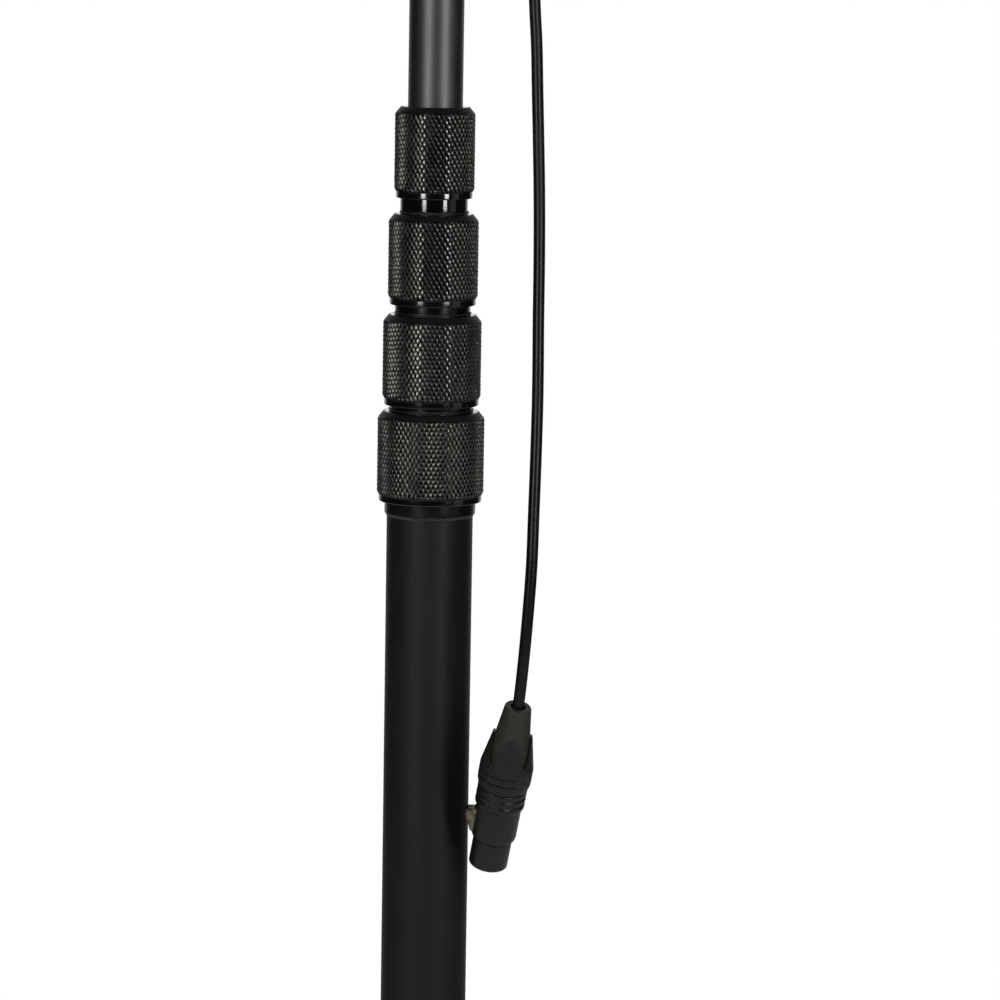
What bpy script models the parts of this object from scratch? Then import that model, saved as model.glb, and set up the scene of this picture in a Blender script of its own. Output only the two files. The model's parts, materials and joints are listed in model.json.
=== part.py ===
"""Hand-held telescopic boom pole for a microphone.

Five aluminium tubes slide in each other. A knurled collar on top of each of the first four squeezes
a split collet on the tube inside it. A coiled cable runs inside from the socket in the foot to the
tip, and leaves it as a short lead with a female XLR plug, which hangs beside the pole.
Metres, +Z up the pole's axis, with the origin at the centre of the foot.
"""

import math

import bmesh
import bpy
from mathutils import Matrix, Vector

MM = 0.001
COLLECTION = "boom_pole"
MERGE = 1e-5

# Facets round a turned piece
POLE_SIDES = 24
PLUG_SIDES = 20
SMALL_SIDES = 10

# Gaps between neighbours
GLUE_GAP = 0.06 * MM
RUNNING_GAP = 0.12 * MM
TURNING_GAP = 0.25 * MM
FACE_GAP = 0.3 * MM

# Tubes, numbered from the base outwards
SECTIONS = 5
BASE_OD = 35.2 * MM
OD_STEP = 3.25 * MM
TUBE_WALL = 1.2 * MM
TUBE_FOOT = {1: 15.8 * MM, 2: 45.0 * MM, 3: 88.0 * MM, 4: 130.0 * MM, 5: 272.0 * MM}
TIP_TUBE_TOP = 745.4 * MM

# Ferrules and their necks
NECK_WALL = 1.0 * MM
BASE_RING_H = 5.3 * MM
BASE_COLLAR_FOOT = 485.3 * MM
TUBE_IN_FERRULE = 12.0 * MM
FERRULE_H = 22.0 * MM
SHOWN_NECK = {2: 2.65 * MM, 3: 4.05 * MM, 4: 6.45 * MM}
BUMPER_PROUD = 0.55 * MM
BUMPER_H = 0.95 * MM

# Collars and collets
COLLAR_R = {1: 21.8 * MM, 2: 20.05 * MM, 3: 18.3 * MM, 4: 16.3 * MM}
COLLAR_H = 36.8 * MM
COLLAR_TOP_CHAMFER = (2.4 * MM, 2.9 * MM)
COLLAR_BAND_DROP = 1.05 * MM
COLLAR_BAND_H = 2.6 * MM
KNURL_FOOT = 3.9 * MM
COLLET_FOOT = 22.3 * MM
COLLET_TOP = 32.5 * MM
COLLET_LIP = 1.3 * MM
COLLET_SLIT = 1.6 * MM

# Guide bushings on the feet of the inner tubes
BUSHING_REACH = 8.0 * MM
BUSHING_WALL = 1.1 * MM

# Foot, end cap and output socket
CAP_FOOT = 3.0 * MM
CAP_FLANGE_TOP = 15.5 * MM
CAP_TOP = 36.0 * MM
CAP_R = 18.25 * MM
CAP_BORE_R = 9.4 * MM
INSERT_R = 9.3 * MM
RECESS_R = 7.85 * MM
RECESS_FLOOR = 14.5 * MM
INSERT_TOP = 26.0 * MM
XLR_CIRCLE_R = 3.8 * MM
XLR_PIN_R = 1.15 * MM
XLR_ANGLES = (90, 210, 330)
CAP_SCREW_Z = 26.0 * MM
CAP_SCREW_ANGLES = (90, 270)

# Coiled cable
COIL_R = 7.0 * MM
COIL_ENDS = (36.0 * MM, 161.0 * MM, 286.0 * MM, 411.0 * MM, 727.5 * MM)
CORE_R = 1.9 * MM

# Tip
TIP_R = 11.2 * MM
TIP_FOOT = 745.7 * MM
TIP_TOP = 779.0 * MM
TIP_SPIGOT_FOOT = 728.0 * MM
TIP_BORE_R = 7.0 * MM
TIP_BORE_TOP = 769.5 * MM
STUD_HOLE = (4.2 * MM, 772.7 * MM)
STUD_RELIEF = (5.2 * MM, 0.9 * MM)
STUD_R = 4.76 * MM
STUD_TOP = 789.5 * MM
STUD_PITCH = 25.4 / 16 * MM
TIP_SCREW_Z = 775.8 * MM
TIP_SCREW_ANGLES = (50, 140)
SCREW_R = 1.45 * MM
SCREW_HOLE_R = 1.6 * MM

# Cable exit
EXIT_ANGLE = -40
EXIT_Z = 764.0 * MM
EXIT_FLAT = 10.0 * MM
EXIT_HOLE_R = 3.4 * MM
GROMMET_END = 20.5 * MM
CABLE_R = 2.35 * MM
CABLE_STEP = 11.5 * MM

# Free cable: its route in millimetres, from the grommet to the plug's boot
CABLE_ROUTE = (
    (15.93, -13.37, 764.0),
    (20.4, -17.2, 763.6),
    (26.4, -22.3, 760.4),
    (31.2, -26.5, 753.4),
    (34.5, -29.4, 743.5),
    (36.6, -31.3, 731.0),
    (37.9, -32.7, 716.0),
    (38.6, -33.7, 700.0),
    (39.3, -34.4, 686.0),
    (40.2, -34.9, 672.0),
    (40.8, -35.4, 655.0),
    (41.5, -36.1, 636.0),
    (42.2, -37.2, 614.0),
    (42.6, -38.9, 590.0),
    (42.7, -41.1, 564.0),
    (42.9, -43.8, 535.0),
    (42.6, -46.4, 510.0),
    (42.1, -48.5, 487.0),
    (41.6, -49.7, 466.0),
    (40.5, -49.2, 447.0),
    (39.2, -46.8, 429.0),
    (37.85, -43.6, 413.6),
    (37.3, -42.11, 408.38),
)

# Plug: lengths along its own axis, counted from the nose
PLUG_NOSE = (26.07 * MM, -17.0 * MM, 338.53 * MM)
PLUG_BOOT_END = (37.25 * MM, -42.0 * MM, 408.11 * MM)
PLUG_LENGTH = 74.8 * MM
NOSE_R = 7.95 * MM
NOSE_LENGTH = 12.9 * MM
SHELL_R = 9.25 * MM
SHELL_BORE_R = 6.95 * MM
SHELL_END = 37.6 * MM
RING_R = 10.15 * MM
RING_VALLEY_R = 9.65 * MM
RING_FEET = (35.4 * MM, 32.3 * MM, 29.2 * MM)
RING_WIDTH = 1.9 * MM
BAND_R = 10.95 * MM
PETALS = 4
PETAL_TIP = 62.2 * MM
PETAL_NOTCH = 50.5 * MM
PETAL_TURN = 43
NOTCH_WIDTH = 8.4 * MM
BOOT_FOOT = 48.9 * MM
BOOT_FOOT_R = 8.9 * MM
BOOT_END_R = 5.4 * MM
BOOT_BORE_R = 2.75 * MM
LATCH_WINDOW = (14.2 * MM, 27.2 * MM)
LATCH_WIDTH = 4.4 * MM
LATCH_FOOT_X = 6.6 * MM
INSERT_FLAT_X = 4.3 * MM

# Colour, roughness, metallic
FINISHES = {
    "black_anodised": ((0.012, 0.012, 0.013), 0.38, 0.6),
    "tube_black": ((0.016, 0.016, 0.016), 0.55, 0.2),
    "tube_grey": ((0.055, 0.056, 0.058), 0.42, 0.5),
    "neck_black": ((0.008, 0.008, 0.010), 0.15, 0.6),
    "rubber": ((0.015, 0.015, 0.015), 0.75, 0.0),
    "plastic": ((0.020, 0.020, 0.020), 0.45, 0.0),
    "bushing_plastic": ((0.045, 0.050, 0.055), 0.50, 0.0),
    "white_nylon": ((0.62, 0.61, 0.57), 0.45, 0.0),
    "cable_jacket": ((0.014, 0.014, 0.014), 0.45, 0.0),
    "steel": ((0.45, 0.45, 0.46), 0.30, 1.0),
    "gold": ((0.80, 0.58, 0.25), 0.25, 1.0),
}


def tube_r(section):
    return (BASE_OD - (section - 1) * OD_STEP) / 2


def bore_r(section):
    return tube_r(section) - TUBE_WALL


def neck_r(section):
    return tube_r(section) + NECK_WALL


def collar_foot(section):
    if section == 1:
        return BASE_COLLAR_FOOT
    return collar_foot(section - 1) + COLLAR_H + SHOWN_NECK[section]


def clear_scene():
    for obj in list(bpy.data.objects):
        bpy.data.objects.remove(obj)


def new_collection(name):
    made = bpy.data.collections.new(name)
    bpy.context.scene.collection.children.link(made)
    return made


def finish(name):
    """The Principled material of that name, made on first use."""
    if name in bpy.data.materials:
        return bpy.data.materials[name]
    colour, roughness, metallic = FINISHES[name]
    made = bpy.data.materials.new(name)
    made.use_nodes = True
    shader = made.node_tree.nodes["Principled BSDF"]
    shader.inputs["Base Color"].default_value = (*colour, 1.0)
    shader.inputs["Roughness"].default_value = roughness
    shader.inputs["Metallic"].default_value = metallic
    made.diffuse_color = (*colour, 1.0)
    return made


def add_object(name, mesh, material, location=(0, 0, 0), parent=None):
    obj = bpy.data.objects.new(name, mesh)
    obj.location = location
    obj.parent = parent
    if material:
        mesh.materials.append(finish(material))
    PARTS.objects.link(obj)
    return obj


def add_empty(name, matrix, parent=None):
    empty = bpy.data.objects.new(name, None)
    empty.empty_display_size = 0.02
    empty.matrix_world = matrix
    empty.parent = parent
    PARTS.objects.link(empty)
    return empty


def as_cutter(obj):
    """Moves an object to the cutters, which never show."""
    PARTS.objects.unlink(obj)
    CUTTERS.objects.link(obj)
    obj.hide_render = True
    obj.display_type = "WIRE"
    return obj


def frozen(obj):
    """Turns an object's modifiers into plain mesh, shaded smooth but for its edges."""
    bpy.context.view_layer.update()
    graph = bpy.context.evaluated_depsgraph_get()
    mesh = bpy.data.meshes.new_from_object(obj.evaluated_get(graph))
    obj.modifiers.clear()
    obj.data = mesh
    mesh.name = obj.name
    mesh.shade_smooth()
    mesh.set_sharp_from_angle(angle=math.radians(30))
    return obj


def turned(name, outline, material, sides=POLE_SIDES, location=(0, 0, 0), parent=None):
    """A turned piece. The outline is (radius, height) pairs, down the outer side and up the inner one.

    An outline that starts and ends on the axis makes a solid piece, any other a ring.
    """
    count = len(outline)
    edges = [(i, i + 1) for i in range(count - 1)]
    if outline[0][0] > 0:
        edges.append((count - 1, 0))
    mesh = bpy.data.meshes.new(name)
    mesh.from_pydata([(r, 0, z) for r, z in outline], edges, [])
    obj = add_object(name, mesh, material, location, parent)
    screw = obj.modifiers.new("Turn", "SCREW")
    screw.angle = math.tau
    screw.steps = sides
    screw.render_steps = sides
    screw.use_merge_vertices = True
    screw.merge_threshold = MERGE
    return frozen(obj)


def ring(name, outer, inner, foot, top, material, **placed):
    outline = [(outer, top), (outer, foot), (inner, foot), (inner, top)]
    return turned(name, outline, material, **placed)


def rod(name, radius, foot, top, material, **placed):
    outline = [(0, top), (radius, top), (radius, foot), (0, foot)]
    return turned(name, outline, material, **placed)


def box(name, low, high, material=None, parent=None):
    """A box between two corners in its parent's frame, from the default cube."""
    bpy.ops.mesh.primitive_cube_add(size=1)
    obj = bpy.context.object
    for owner in list(obj.users_collection):
        owner.objects.unlink(obj)
    low, high = Vector(low), Vector(high)
    size = Matrix.Diagonal((*(high - low), 1))
    obj.data.transform(Matrix.Translation((low + high) / 2) @ size)
    obj.name = name
    obj.data.name = name
    obj.parent = parent
    if material:
        obj.data.materials.append(finish(material))
    PARTS.objects.link(obj)
    return obj


def cut(obj, *cutters):
    for cutter in cutters:
        modifier = obj.modifiers.new("Cut " + cutter.name, "BOOLEAN")
        modifier.operation = "DIFFERENCE"
        modifier.solver = "EXACT"
        modifier.object = cutter
    return obj


def radial(angle, height):
    """A frame at a height on the pole's axis whose +Z points out of the pole at an angle."""
    turn = Matrix.Rotation(math.radians(angle), 4, "Z") @ Matrix.Rotation(math.pi / 2, 4, "Y")
    return Matrix.Translation((0, 0, height)) @ turn


def radial_cutter(name, radius, inner, outer, angle, height):
    cutter = rod(name, radius, inner, outer, None, sides=SMALL_SIDES)
    cutter.matrix_world = radial(angle, height)
    return as_cutter(cutter)


def set_screw(name, angle, height, inner, outer):
    """A headless screw lying along a radius, with a hexagon socket in its outer end."""
    screw = rod(name, SCREW_R, inner, outer, "steel", sides=SMALL_SIDES)
    screw.matrix_world = radial(angle, height)
    socket = rod(name + "_socket", 0.87 * MM, outer - 1.6 * MM, outer + 1.0 * MM, None, sides=6)
    socket.matrix_world = radial(angle, height)
    return cut(screw, as_cutter(socket))


def smooth_points(route, step):
    """Points about a step apart on a centripetal Catmull-Rom curve through the route."""
    points = [Vector(p) for p in route]
    first = points[0] * 2 - points[1]
    last = points[-1] * 2 - points[-2]
    padded = [first, *points, last]
    found = []
    for i in range(1, len(padded) - 2):
        before, start, end, after = padded[i - 1 : i + 3]
        knots = [0.0]
        for a, b in ((before, start), (start, end), (end, after)):
            knots.append(knots[-1] + (b - a).length ** 0.5)
        count = max(1, round((end - start).length / step))
        for k in range(count):
            t = knots[1] + (knots[2] - knots[1]) * k / count
            found.append(catmull_rom(before, start, end, after, knots, t))
    found.append(points[-1])
    return found


def catmull_rom(p0, p1, p2, p3, knots, t):
    t0, t1, t2, t3 = knots
    a1 = p0.lerp(p1, (t - t0) / (t1 - t0))
    a2 = p1.lerp(p2, (t - t1) / (t2 - t1))
    a3 = p2.lerp(p3, (t - t2) / (t3 - t2))
    b1 = a1.lerp(a2, (t - t0) / (t2 - t0))
    b2 = a2.lerp(a3, (t - t1) / (t3 - t1))
    return b1.lerp(b2, (t - t1) / (t2 - t1))


def tube_along(name, points, radius, material):
    """A round cable through the points."""
    curve = bpy.data.curves.new(name, "CURVE")
    curve.dimensions = "3D"
    curve.bevel_depth = radius
    curve.bevel_resolution = 2
    curve.use_fill_caps = True
    spline = curve.splines.new("POLY")
    spline.points.add(len(points) - 1)
    for place, point in zip(spline.points, points):
        place.co = (*point, 1)
    return add_object(name, curve, material)


def make_tube(section):
    top = TIP_TUBE_TOP if section == SECTIONS else collar_foot(section) + TUBE_IN_FERRULE
    foot = TUBE_FOOT[section]
    material = "tube_grey" if section == SECTIONS else "tube_black"
    name = "base_tube" if section == 1 else f"tube_{section}"
    where = (0, 0, foot)
    tube = ring(name, tube_r(section), bore_r(section), 0, top - foot, material, location=where)
    if section == 1:
        for angle in CAP_SCREW_ANGLES:
            hole = f"base_tube_hole_{angle}"
            reach = (bore_r(1) - MM, tube_r(1) + MM)
            cut(tube, radial_cutter(hole, SCREW_HOLE_R, *reach, angle, CAP_SCREW_Z))
    return tube


def make_ferrule(section):
    """A sleeve over the end of a tube, with a step that guides the next tube."""
    foot = collar_foot(section)
    if section == 1:
        drop, rounded = BASE_RING_H, 0.8 * MM
    else:
        drop, rounded = SHOWN_NECK[section] - BUMPER_H - 0.3 * MM, 0.2 * MM
    neck = neck_r(section)
    sleeve = tube_r(section) + GLUE_GAP
    guide = tube_r(section + 1) + 0.25 * MM
    step = TUBE_IN_FERRULE + FACE_GAP
    outline = [
        (neck, FERRULE_H),
        (neck, rounded - drop),
        (neck - 0.3 * rounded, 0.3 * rounded - drop),
        (neck - min(rounded, 0.6 * MM), -drop),
        (sleeve, -drop),
        (sleeve, step),
        (guide, step),
        (guide, FERRULE_H),
    ]
    name = "base_ferrule" if section == 1 else f"ferrule_{section}"
    return turned(name, outline, "neck_black", location=(0, 0, foot))


def make_bumper(section):
    """A rubber ring on a tube, between its ferrule and the collar below."""
    foot = collar_foot(section) - SHOWN_NECK[section] + 0.15 * MM
    outer = neck_r(section) + BUMPER_PROUD
    inner = tube_r(section) + 0.1 * MM
    soft = 0.3 * MM
    outline = [
        (outer - soft, BUMPER_H),
        (outer, BUMPER_H - soft),
        (outer, soft),
        (outer - soft, 0),
        (inner, 0),
        (inner, BUMPER_H),
    ]
    return turned(f"bumper_ring_{section}", outline, "rubber", location=(0, 0, foot))


def make_collar(section):
    """A knurled nut, with a cone inside that closes the collet. Its origin is on its axis."""
    outer = COLLAR_R[section]
    band = outer - COLLAR_BAND_DROP
    bore = neck_r(section) + TURNING_GAP
    cone_top = tube_r(section + 1) + COLLET_LIP + TURNING_GAP
    lip = tube_r(section + 1) + FACE_GAP
    chamfer_in, chamfer_down = COLLAR_TOP_CHAMFER
    outline = [
        (outer - chamfer_in, COLLAR_H),
        (outer, COLLAR_H - chamfer_down),
        (outer, KNURL_FOOT),
        (band, COLLAR_BAND_H),
        (band, 0),
        (bore, 0),
        (bore, COLLET_FOOT),
        (cone_top, COLLET_TOP + FACE_GAP),
        (lip, COLLET_TOP + FACE_GAP),
        (lip, COLLAR_H),
    ]
    return turned(
        f"collar_{section}", outline, "black_anodised", location=(0, 0, collar_foot(section))
    )


def make_collet(section):
    """A split cone that the collar squeezes on the next tube."""
    inner = tube_r(section + 1) + RUNNING_GAP
    height = COLLET_TOP - COLLET_FOOT
    outline = [
        (tube_r(section + 1) + COLLET_LIP, height),
        (neck_r(section) - 0.1 * MM, 0),
        (inner, 0),
        (inner, height),
    ]
    foot = collar_foot(section) + COLLET_FOOT
    collet = turned(f"collet_{section}", outline, "plastic", location=(0, 0, foot))
    half = COLLET_SLIT / 2
    low = (inner - MM, -half, foot - MM)
    high = (neck_r(section) + MM, half, foot + height + MM)
    return cut(collet, as_cutter(box(f"collet_{section}_slit", low, high)))


def make_guide_bushing(section):
    """A nylon foot in a tube's lower end, which runs in the bore of the tube outside it."""
    spigot = bore_r(section) - GLUE_GAP
    runner = bore_r(section - 1) - RUNNING_GAP
    inner = spigot - BUSHING_WALL
    outline = [
        (spigot, BUSHING_REACH),
        (spigot, -FACE_GAP),
        (runner, -FACE_GAP),
        (runner, -BUSHING_REACH),
        (inner, -BUSHING_REACH),
        (inner, BUSHING_REACH),
    ]
    where = (0, 0, TUBE_FOOT[section])
    return turned(f"guide_bushing_{section}", outline, "white_nylon", location=where)


def make_end_cap():
    spigot = bore_r(1) - GLUE_GAP
    groove_top, groove = 13.0 * MM, 0.6 * MM
    outline = [
        (spigot, CAP_TOP),
        (spigot, CAP_FLANGE_TOP),
        (CAP_R, CAP_FLANGE_TOP),
        (CAP_R, groove_top),
        (CAP_R - groove, groove_top - groove),
        (CAP_R, groove_top - 2 * groove),
        (CAP_R, 4.0 * MM),
        (CAP_R - MM, CAP_FOOT),
        (CAP_BORE_R, CAP_FOOT),
        (CAP_BORE_R, CAP_TOP),
    ]
    cap = turned("base_end_cap", outline, "black_anodised")
    for angle in CAP_SCREW_ANGLES:
        hole = f"end_cap_hole_{angle}"
        reach = (CAP_BORE_R - MM, bore_r(1) + MM)
        cut(cap, radial_cutter(hole, SCREW_HOLE_R, *reach, angle, CAP_SCREW_Z))
    for number, angle in enumerate(CAP_SCREW_ANGLES, 1):
        set_screw(f"end_cap_screw_{number}", angle, CAP_SCREW_Z, 10.5 * MM, tube_r(1) - 0.2 * MM)


def make_foot_ring():
    outline = [
        (17.3 * MM, 2.7 * MM),
        (17.9 * MM, 1.9 * MM),
        (17.3 * MM, 0.5 * MM),
        (16.5 * MM, 0),
        (10.7 * MM, 0),
        (10.0 * MM, 0.7 * MM),
        (10.0 * MM, 2.7 * MM),
    ]
    turned("base_foot_ring", outline, "rubber")


def on_xlr_circle(angle):
    turn = math.radians(angle)
    return Vector((XLR_CIRCLE_R * math.cos(turn), XLR_CIRCLE_R * math.sin(turn), 0))


def make_output():
    """The male XLR socket in the foot: an insert with three pins."""
    outline = [
        (0, INSERT_TOP),
        (INSERT_R, INSERT_TOP),
        (INSERT_R, 3.5 * MM),
        (RECESS_R + 0.4 * MM, 3.5 * MM),
        (RECESS_R, 4.2 * MM),
        (RECESS_R, RECESS_FLOOR),
        (0, RECESS_FLOOR),
    ]
    insert = turned("output_insert", outline, "plastic")
    pin = [
        (0, 27.2 * MM),
        (XLR_PIN_R, 27.2 * MM),
        (XLR_PIN_R, 5.8 * MM),
        (0.7 * XLR_PIN_R, 5.1 * MM),
        (0, 4.8 * MM),
    ]
    for number, angle in enumerate(XLR_ANGLES, 1):
        where = on_xlr_circle(angle)
        turned(f"output_pin_{number}", pin, "gold", sides=SMALL_SIDES, location=where)
        reach = (RECESS_FLOOR - MM, INSERT_TOP + MM)
        hole = rod(f"output_hole_{number}", 1.3 * MM, *reach, None, sides=SMALL_SIDES, location=where)
        cut(insert, as_cutter(hole))


def make_cable_inside():
    """The anchor, the lead below the coil and the coil's four lengths, one for each sliding joint."""
    ring("cable_anchor", 9.2 * MM, 2.3 * MM, 28.0 * MM, 34.0 * MM, "plastic", sides=PLUG_SIDES)
    lead_foot, lead_top = INSERT_TOP + FACE_GAP, COIL_ENDS[0] - FACE_GAP
    rod("base_lead", CORE_R, lead_foot, lead_top, "cable_jacket", sides=SMALL_SIDES)
    for number, (foot, top) in enumerate(zip(COIL_ENDS, COIL_ENDS[1:]), 1):
        length = top - foot - FACE_GAP
        where = (0, 0, foot)
        rod(f"coil_{number}", COIL_R, 0, length, "cable_jacket", sides=SMALL_SIDES, location=where)


def make_tip():
    """The housing that closes section 5, with the microphone's stud and the cable's way out."""
    hole_r, hole_floor = STUD_HOLE
    relief_r, relief_depth = STUD_RELIEF
    edge = 0.6 * MM
    outline = [
        (0, hole_floor),
        (hole_r, hole_floor),
        (hole_r, TIP_TOP - relief_depth),
        (relief_r, TIP_TOP - relief_depth),
        (relief_r, TIP_TOP),
        (TIP_R - edge, TIP_TOP),
        (TIP_R, TIP_TOP - edge),
        (TIP_R, TIP_FOOT + edge),
        (TIP_R - 0.3 * MM, TIP_FOOT),
        (bore_r(SECTIONS) - GLUE_GAP, TIP_FOOT),
        (bore_r(SECTIONS) - GLUE_GAP, TIP_SPIGOT_FOOT),
        (TIP_BORE_R, TIP_SPIGOT_FOOT),
        (TIP_BORE_R, TIP_BORE_TOP),
        (0, TIP_BORE_TOP),
    ]
    housing = turned("tip_housing", outline, "black_anodised")
    flat = box("tip_flat", (-6 * MM, -8 * MM, EXIT_FLAT), (6 * MM, 8 * MM, TIP_R + MM))
    flat.matrix_world = radial(EXIT_ANGLE, EXIT_Z)
    cut(housing, as_cutter(flat))
    reach = (TIP_BORE_R - 3 * MM, TIP_R + MM)
    cut(housing, radial_cutter("tip_exit_hole", EXIT_HOLE_R, *reach, EXIT_ANGLE, EXIT_Z))
    for number, angle in enumerate(TIP_SCREW_ANGLES, 1):
        reach = (hole_r - MM, TIP_R + MM)
        hole = radial_cutter(f"tip_hole_{number}", SCREW_HOLE_R, *reach, angle, TIP_SCREW_Z)
        cut(housing, hole)
        set_screw(f"tip_set_screw_{number}", angle, TIP_SCREW_Z, hole_r + 0.4 * MM, TIP_R - 0.5 * MM)


def make_stud():
    """A 3/8 inch stud of 16 threads to the inch, its thread drawn as rings."""
    root = STUD_R - 0.55 * STUD_PITCH
    outline = [(0, STUD_TOP), (root, STUD_TOP)]
    crest = STUD_TOP - 0.5 * STUD_PITCH
    while crest - 0.5 * STUD_PITCH > TIP_TOP + FACE_GAP:
        outline += [(STUD_R, crest), (root, crest - 0.5 * STUD_PITCH)]
        crest -= STUD_PITCH
    foot = STUD_HOLE[1] + FACE_GAP
    outline += [(root, foot), (0, foot)]
    turned("mic_stud", outline, "steel", sides=12)


def make_exit():
    """The grommet in the tip's flat, and the lead that reaches it from the coil."""
    outline = [
        (0, GROMMET_END),
        (3.0 * MM, GROMMET_END),
        (3.3 * MM, GROMMET_END - 0.4 * MM),
        (4.1 * MM, 11.9 * MM),
        (4.8 * MM, 11.6 * MM),
        (4.8 * MM, EXIT_FLAT + FACE_GAP),
        (3.2 * MM, EXIT_FLAT + FACE_GAP),
        (3.2 * MM, 7.4 * MM),
        (0, 7.4 * MM),
    ]
    grommet = turned("cable_grommet", outline, "rubber", sides=16)
    grommet.matrix_world = radial(EXIT_ANGLE, EXIT_Z)
    turn = math.radians(EXIT_ANGLE)
    out = Vector((math.cos(turn), math.sin(turn), 0))
    up = Vector((0, 0, 1))
    bend = 5.6 * MM
    route = [
        up * (COIL_ENDS[-1] + FACE_GAP / 2),
        up * (EXIT_Z - 2.2 * bend),
        up * (EXIT_Z - bend),
        up * (EXIT_Z - 0.3 * bend) + out * 0.3 * bend,
        up * EXIT_Z + out * bend,
        up * EXIT_Z + out * (7.4 * MM - FACE_GAP),
    ]
    tube_along("tip_lead", smooth_points(route, 2.5 * MM), 1.5 * MM, "cable_jacket")


def plug_frame():
    """The plug's own frame: origin at its nose, +Z along it to the boot, +X to the latch."""
    nose, end = Vector(PLUG_NOSE), Vector(PLUG_BOOT_END)
    along = (end - nose).normalized()
    to_latch = Vector((-1, 0, 0))
    to_latch = (to_latch - along * to_latch.dot(along)).normalized()
    across = along.cross(to_latch)
    turn = Matrix((to_latch, across, along)).transposed().to_4x4()
    return add_empty("plug_frame", Matrix.Translation(nose) @ turn)


def make_plug_shell(frame):
    outline = [(RING_VALLEY_R, SHELL_END)]
    for foot in RING_FEET:
        outline += [
            (RING_R, foot + RING_WIDTH),
            (RING_R, foot),
            (RING_VALLEY_R, foot - 0.6 * MM),
        ]
    outline += [
        (SHELL_R, 28.0 * MM),
        (SHELL_R, 14.9 * MM),
        (8.85 * MM, 13.5 * MM),
        (8.2 * MM, NOSE_LENGTH),
        (NOSE_R, NOSE_LENGTH),
        (NOSE_R, 0.4 * MM),
        (NOSE_R - 0.4 * MM, 0),
        (SHELL_BORE_R, 0),
        (SHELL_BORE_R, 30.0 * MM),
        (8.6 * MM, 30.0 * MM),
        (8.6 * MM, SHELL_END),
    ]
    shell = turned("plug_shell", outline, "plastic", sides=PLUG_SIDES, parent=frame)
    half = LATCH_WIDTH / 2 + 0.3 * MM
    low = (5 * MM, -half, LATCH_WINDOW[0])
    high = (12 * MM, half, LATCH_WINDOW[1])
    cut(shell, as_cutter(box("latch_window", low, high, parent=frame)))


def make_plug_insert(frame):
    insert = rod("plug_insert", 6.85 * MM, 0.6 * MM, 26.0 * MM, "plastic", sides=PLUG_SIDES, parent=frame)
    low = (INSERT_FLAT_X, -8 * MM, 11.5 * MM)
    high = (8 * MM, 8 * MM, 27 * MM)
    cut(insert, as_cutter(box("insert_flat", low, high, parent=frame)))
    for number, angle in enumerate(XLR_ANGLES, 1):
        where = on_xlr_circle(angle - 30)
        placed = {"sides": SMALL_SIDES, "location": where, "parent": frame}
        hole = rod(f"contact_hole_{number}", 1.5 * MM, 0, 27 * MM, None, **placed)
        cut(insert, as_cutter(hole))
        ring(f"plug_contact_{number}", 1.35 * MM, 0.8 * MM, 1.4 * MM, 29.5 * MM, "gold", **placed)


def petal_notch(frame, index):
    """A U-shaped cutter for the gap between two petals."""
    turn = Matrix.Rotation(math.radians(PETAL_TURN + index * 360 / PETALS), 4, "Z")
    name = f"petal_notch_{index + 1}"
    curve = bpy.data.curves.new(name, "CURVE")
    curve.dimensions = "2D"
    curve.fill_mode = "BOTH"
    curve.extrude = 5 * MM
    spline = curve.splines.new("POLY")
    rise, half, steps = PETAL_TIP - PETAL_NOTCH + MM, NOTCH_WIDTH / 2, 6
    outline = []
    for step in range(steps + 1):
        side = 2 * step / steps - 1
        outline.append((half * side, rise * abs(side) ** 2.2))
    spline.points.add(len(outline) - 1)
    for place, (across, height) in zip(spline.points, outline):
        place.co = (across, height, 0, 1)
    spline.use_cyclic_u = True
    flat = add_object(name, curve, None)
    stand = Matrix.Translation((10.5 * MM, 0, PETAL_NOTCH)) @ Matrix.Rotation(math.pi / 2, 4, "Z")
    flat.matrix_world = turn @ stand @ Matrix.Rotation(math.pi / 2, 4, "X")
    return as_cutter(meshed(flat, frame))


def meshed(curve_object, parent):
    """Replaces a curve object with a welded mesh of it, under a parent."""
    bpy.context.view_layer.update()
    graph = bpy.context.evaluated_depsgraph_get()
    mesh = bpy.data.meshes.new_from_object(curve_object.evaluated_get(graph))
    welded = bmesh.new()
    welded.from_mesh(mesh)
    bmesh.ops.remove_doubles(welded, verts=welded.verts, dist=MERGE)
    welded.to_mesh(mesh)
    welded.free()
    name, matrix = curve_object.name, curve_object.matrix_world.copy()
    bpy.data.objects.remove(curve_object)
    obj = add_object(name, mesh, None, parent=parent)
    obj.matrix_basis = matrix
    return obj


def make_plug_bushing(frame):
    """The screwed bushing: a spigot in the shell, a band, and petals round the boot."""
    band_foot = 37.9 * MM
    outline = [
        (7.75 * MM, PETAL_TIP),
        (8.15 * MM, PETAL_TIP - 0.6 * MM),
        (10.3 * MM, PETAL_NOTCH),
        (10.8 * MM, 47.6 * MM),
        (BAND_R, 45.6 * MM),
        (BAND_R - 0.1 * MM, 40.6 * MM),
        (10.2 * MM, band_foot),
        (8.45 * MM, band_foot),
        (8.45 * MM, 30.4 * MM),
        (7.4 * MM, 30.4 * MM),
        (7.4 * MM, BOOT_FOOT - FACE_GAP),
        (BOOT_FOOT_R + 0.3 * MM, BOOT_FOOT - FACE_GAP),
        (7.4 * MM, PETAL_TIP),
    ]
    bushing = turned("plug_bushing", outline, "bushing_plastic", sides=PLUG_SIDES, parent=frame)
    cut(bushing, *(petal_notch(frame, index) for index in range(PETALS)))


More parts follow.
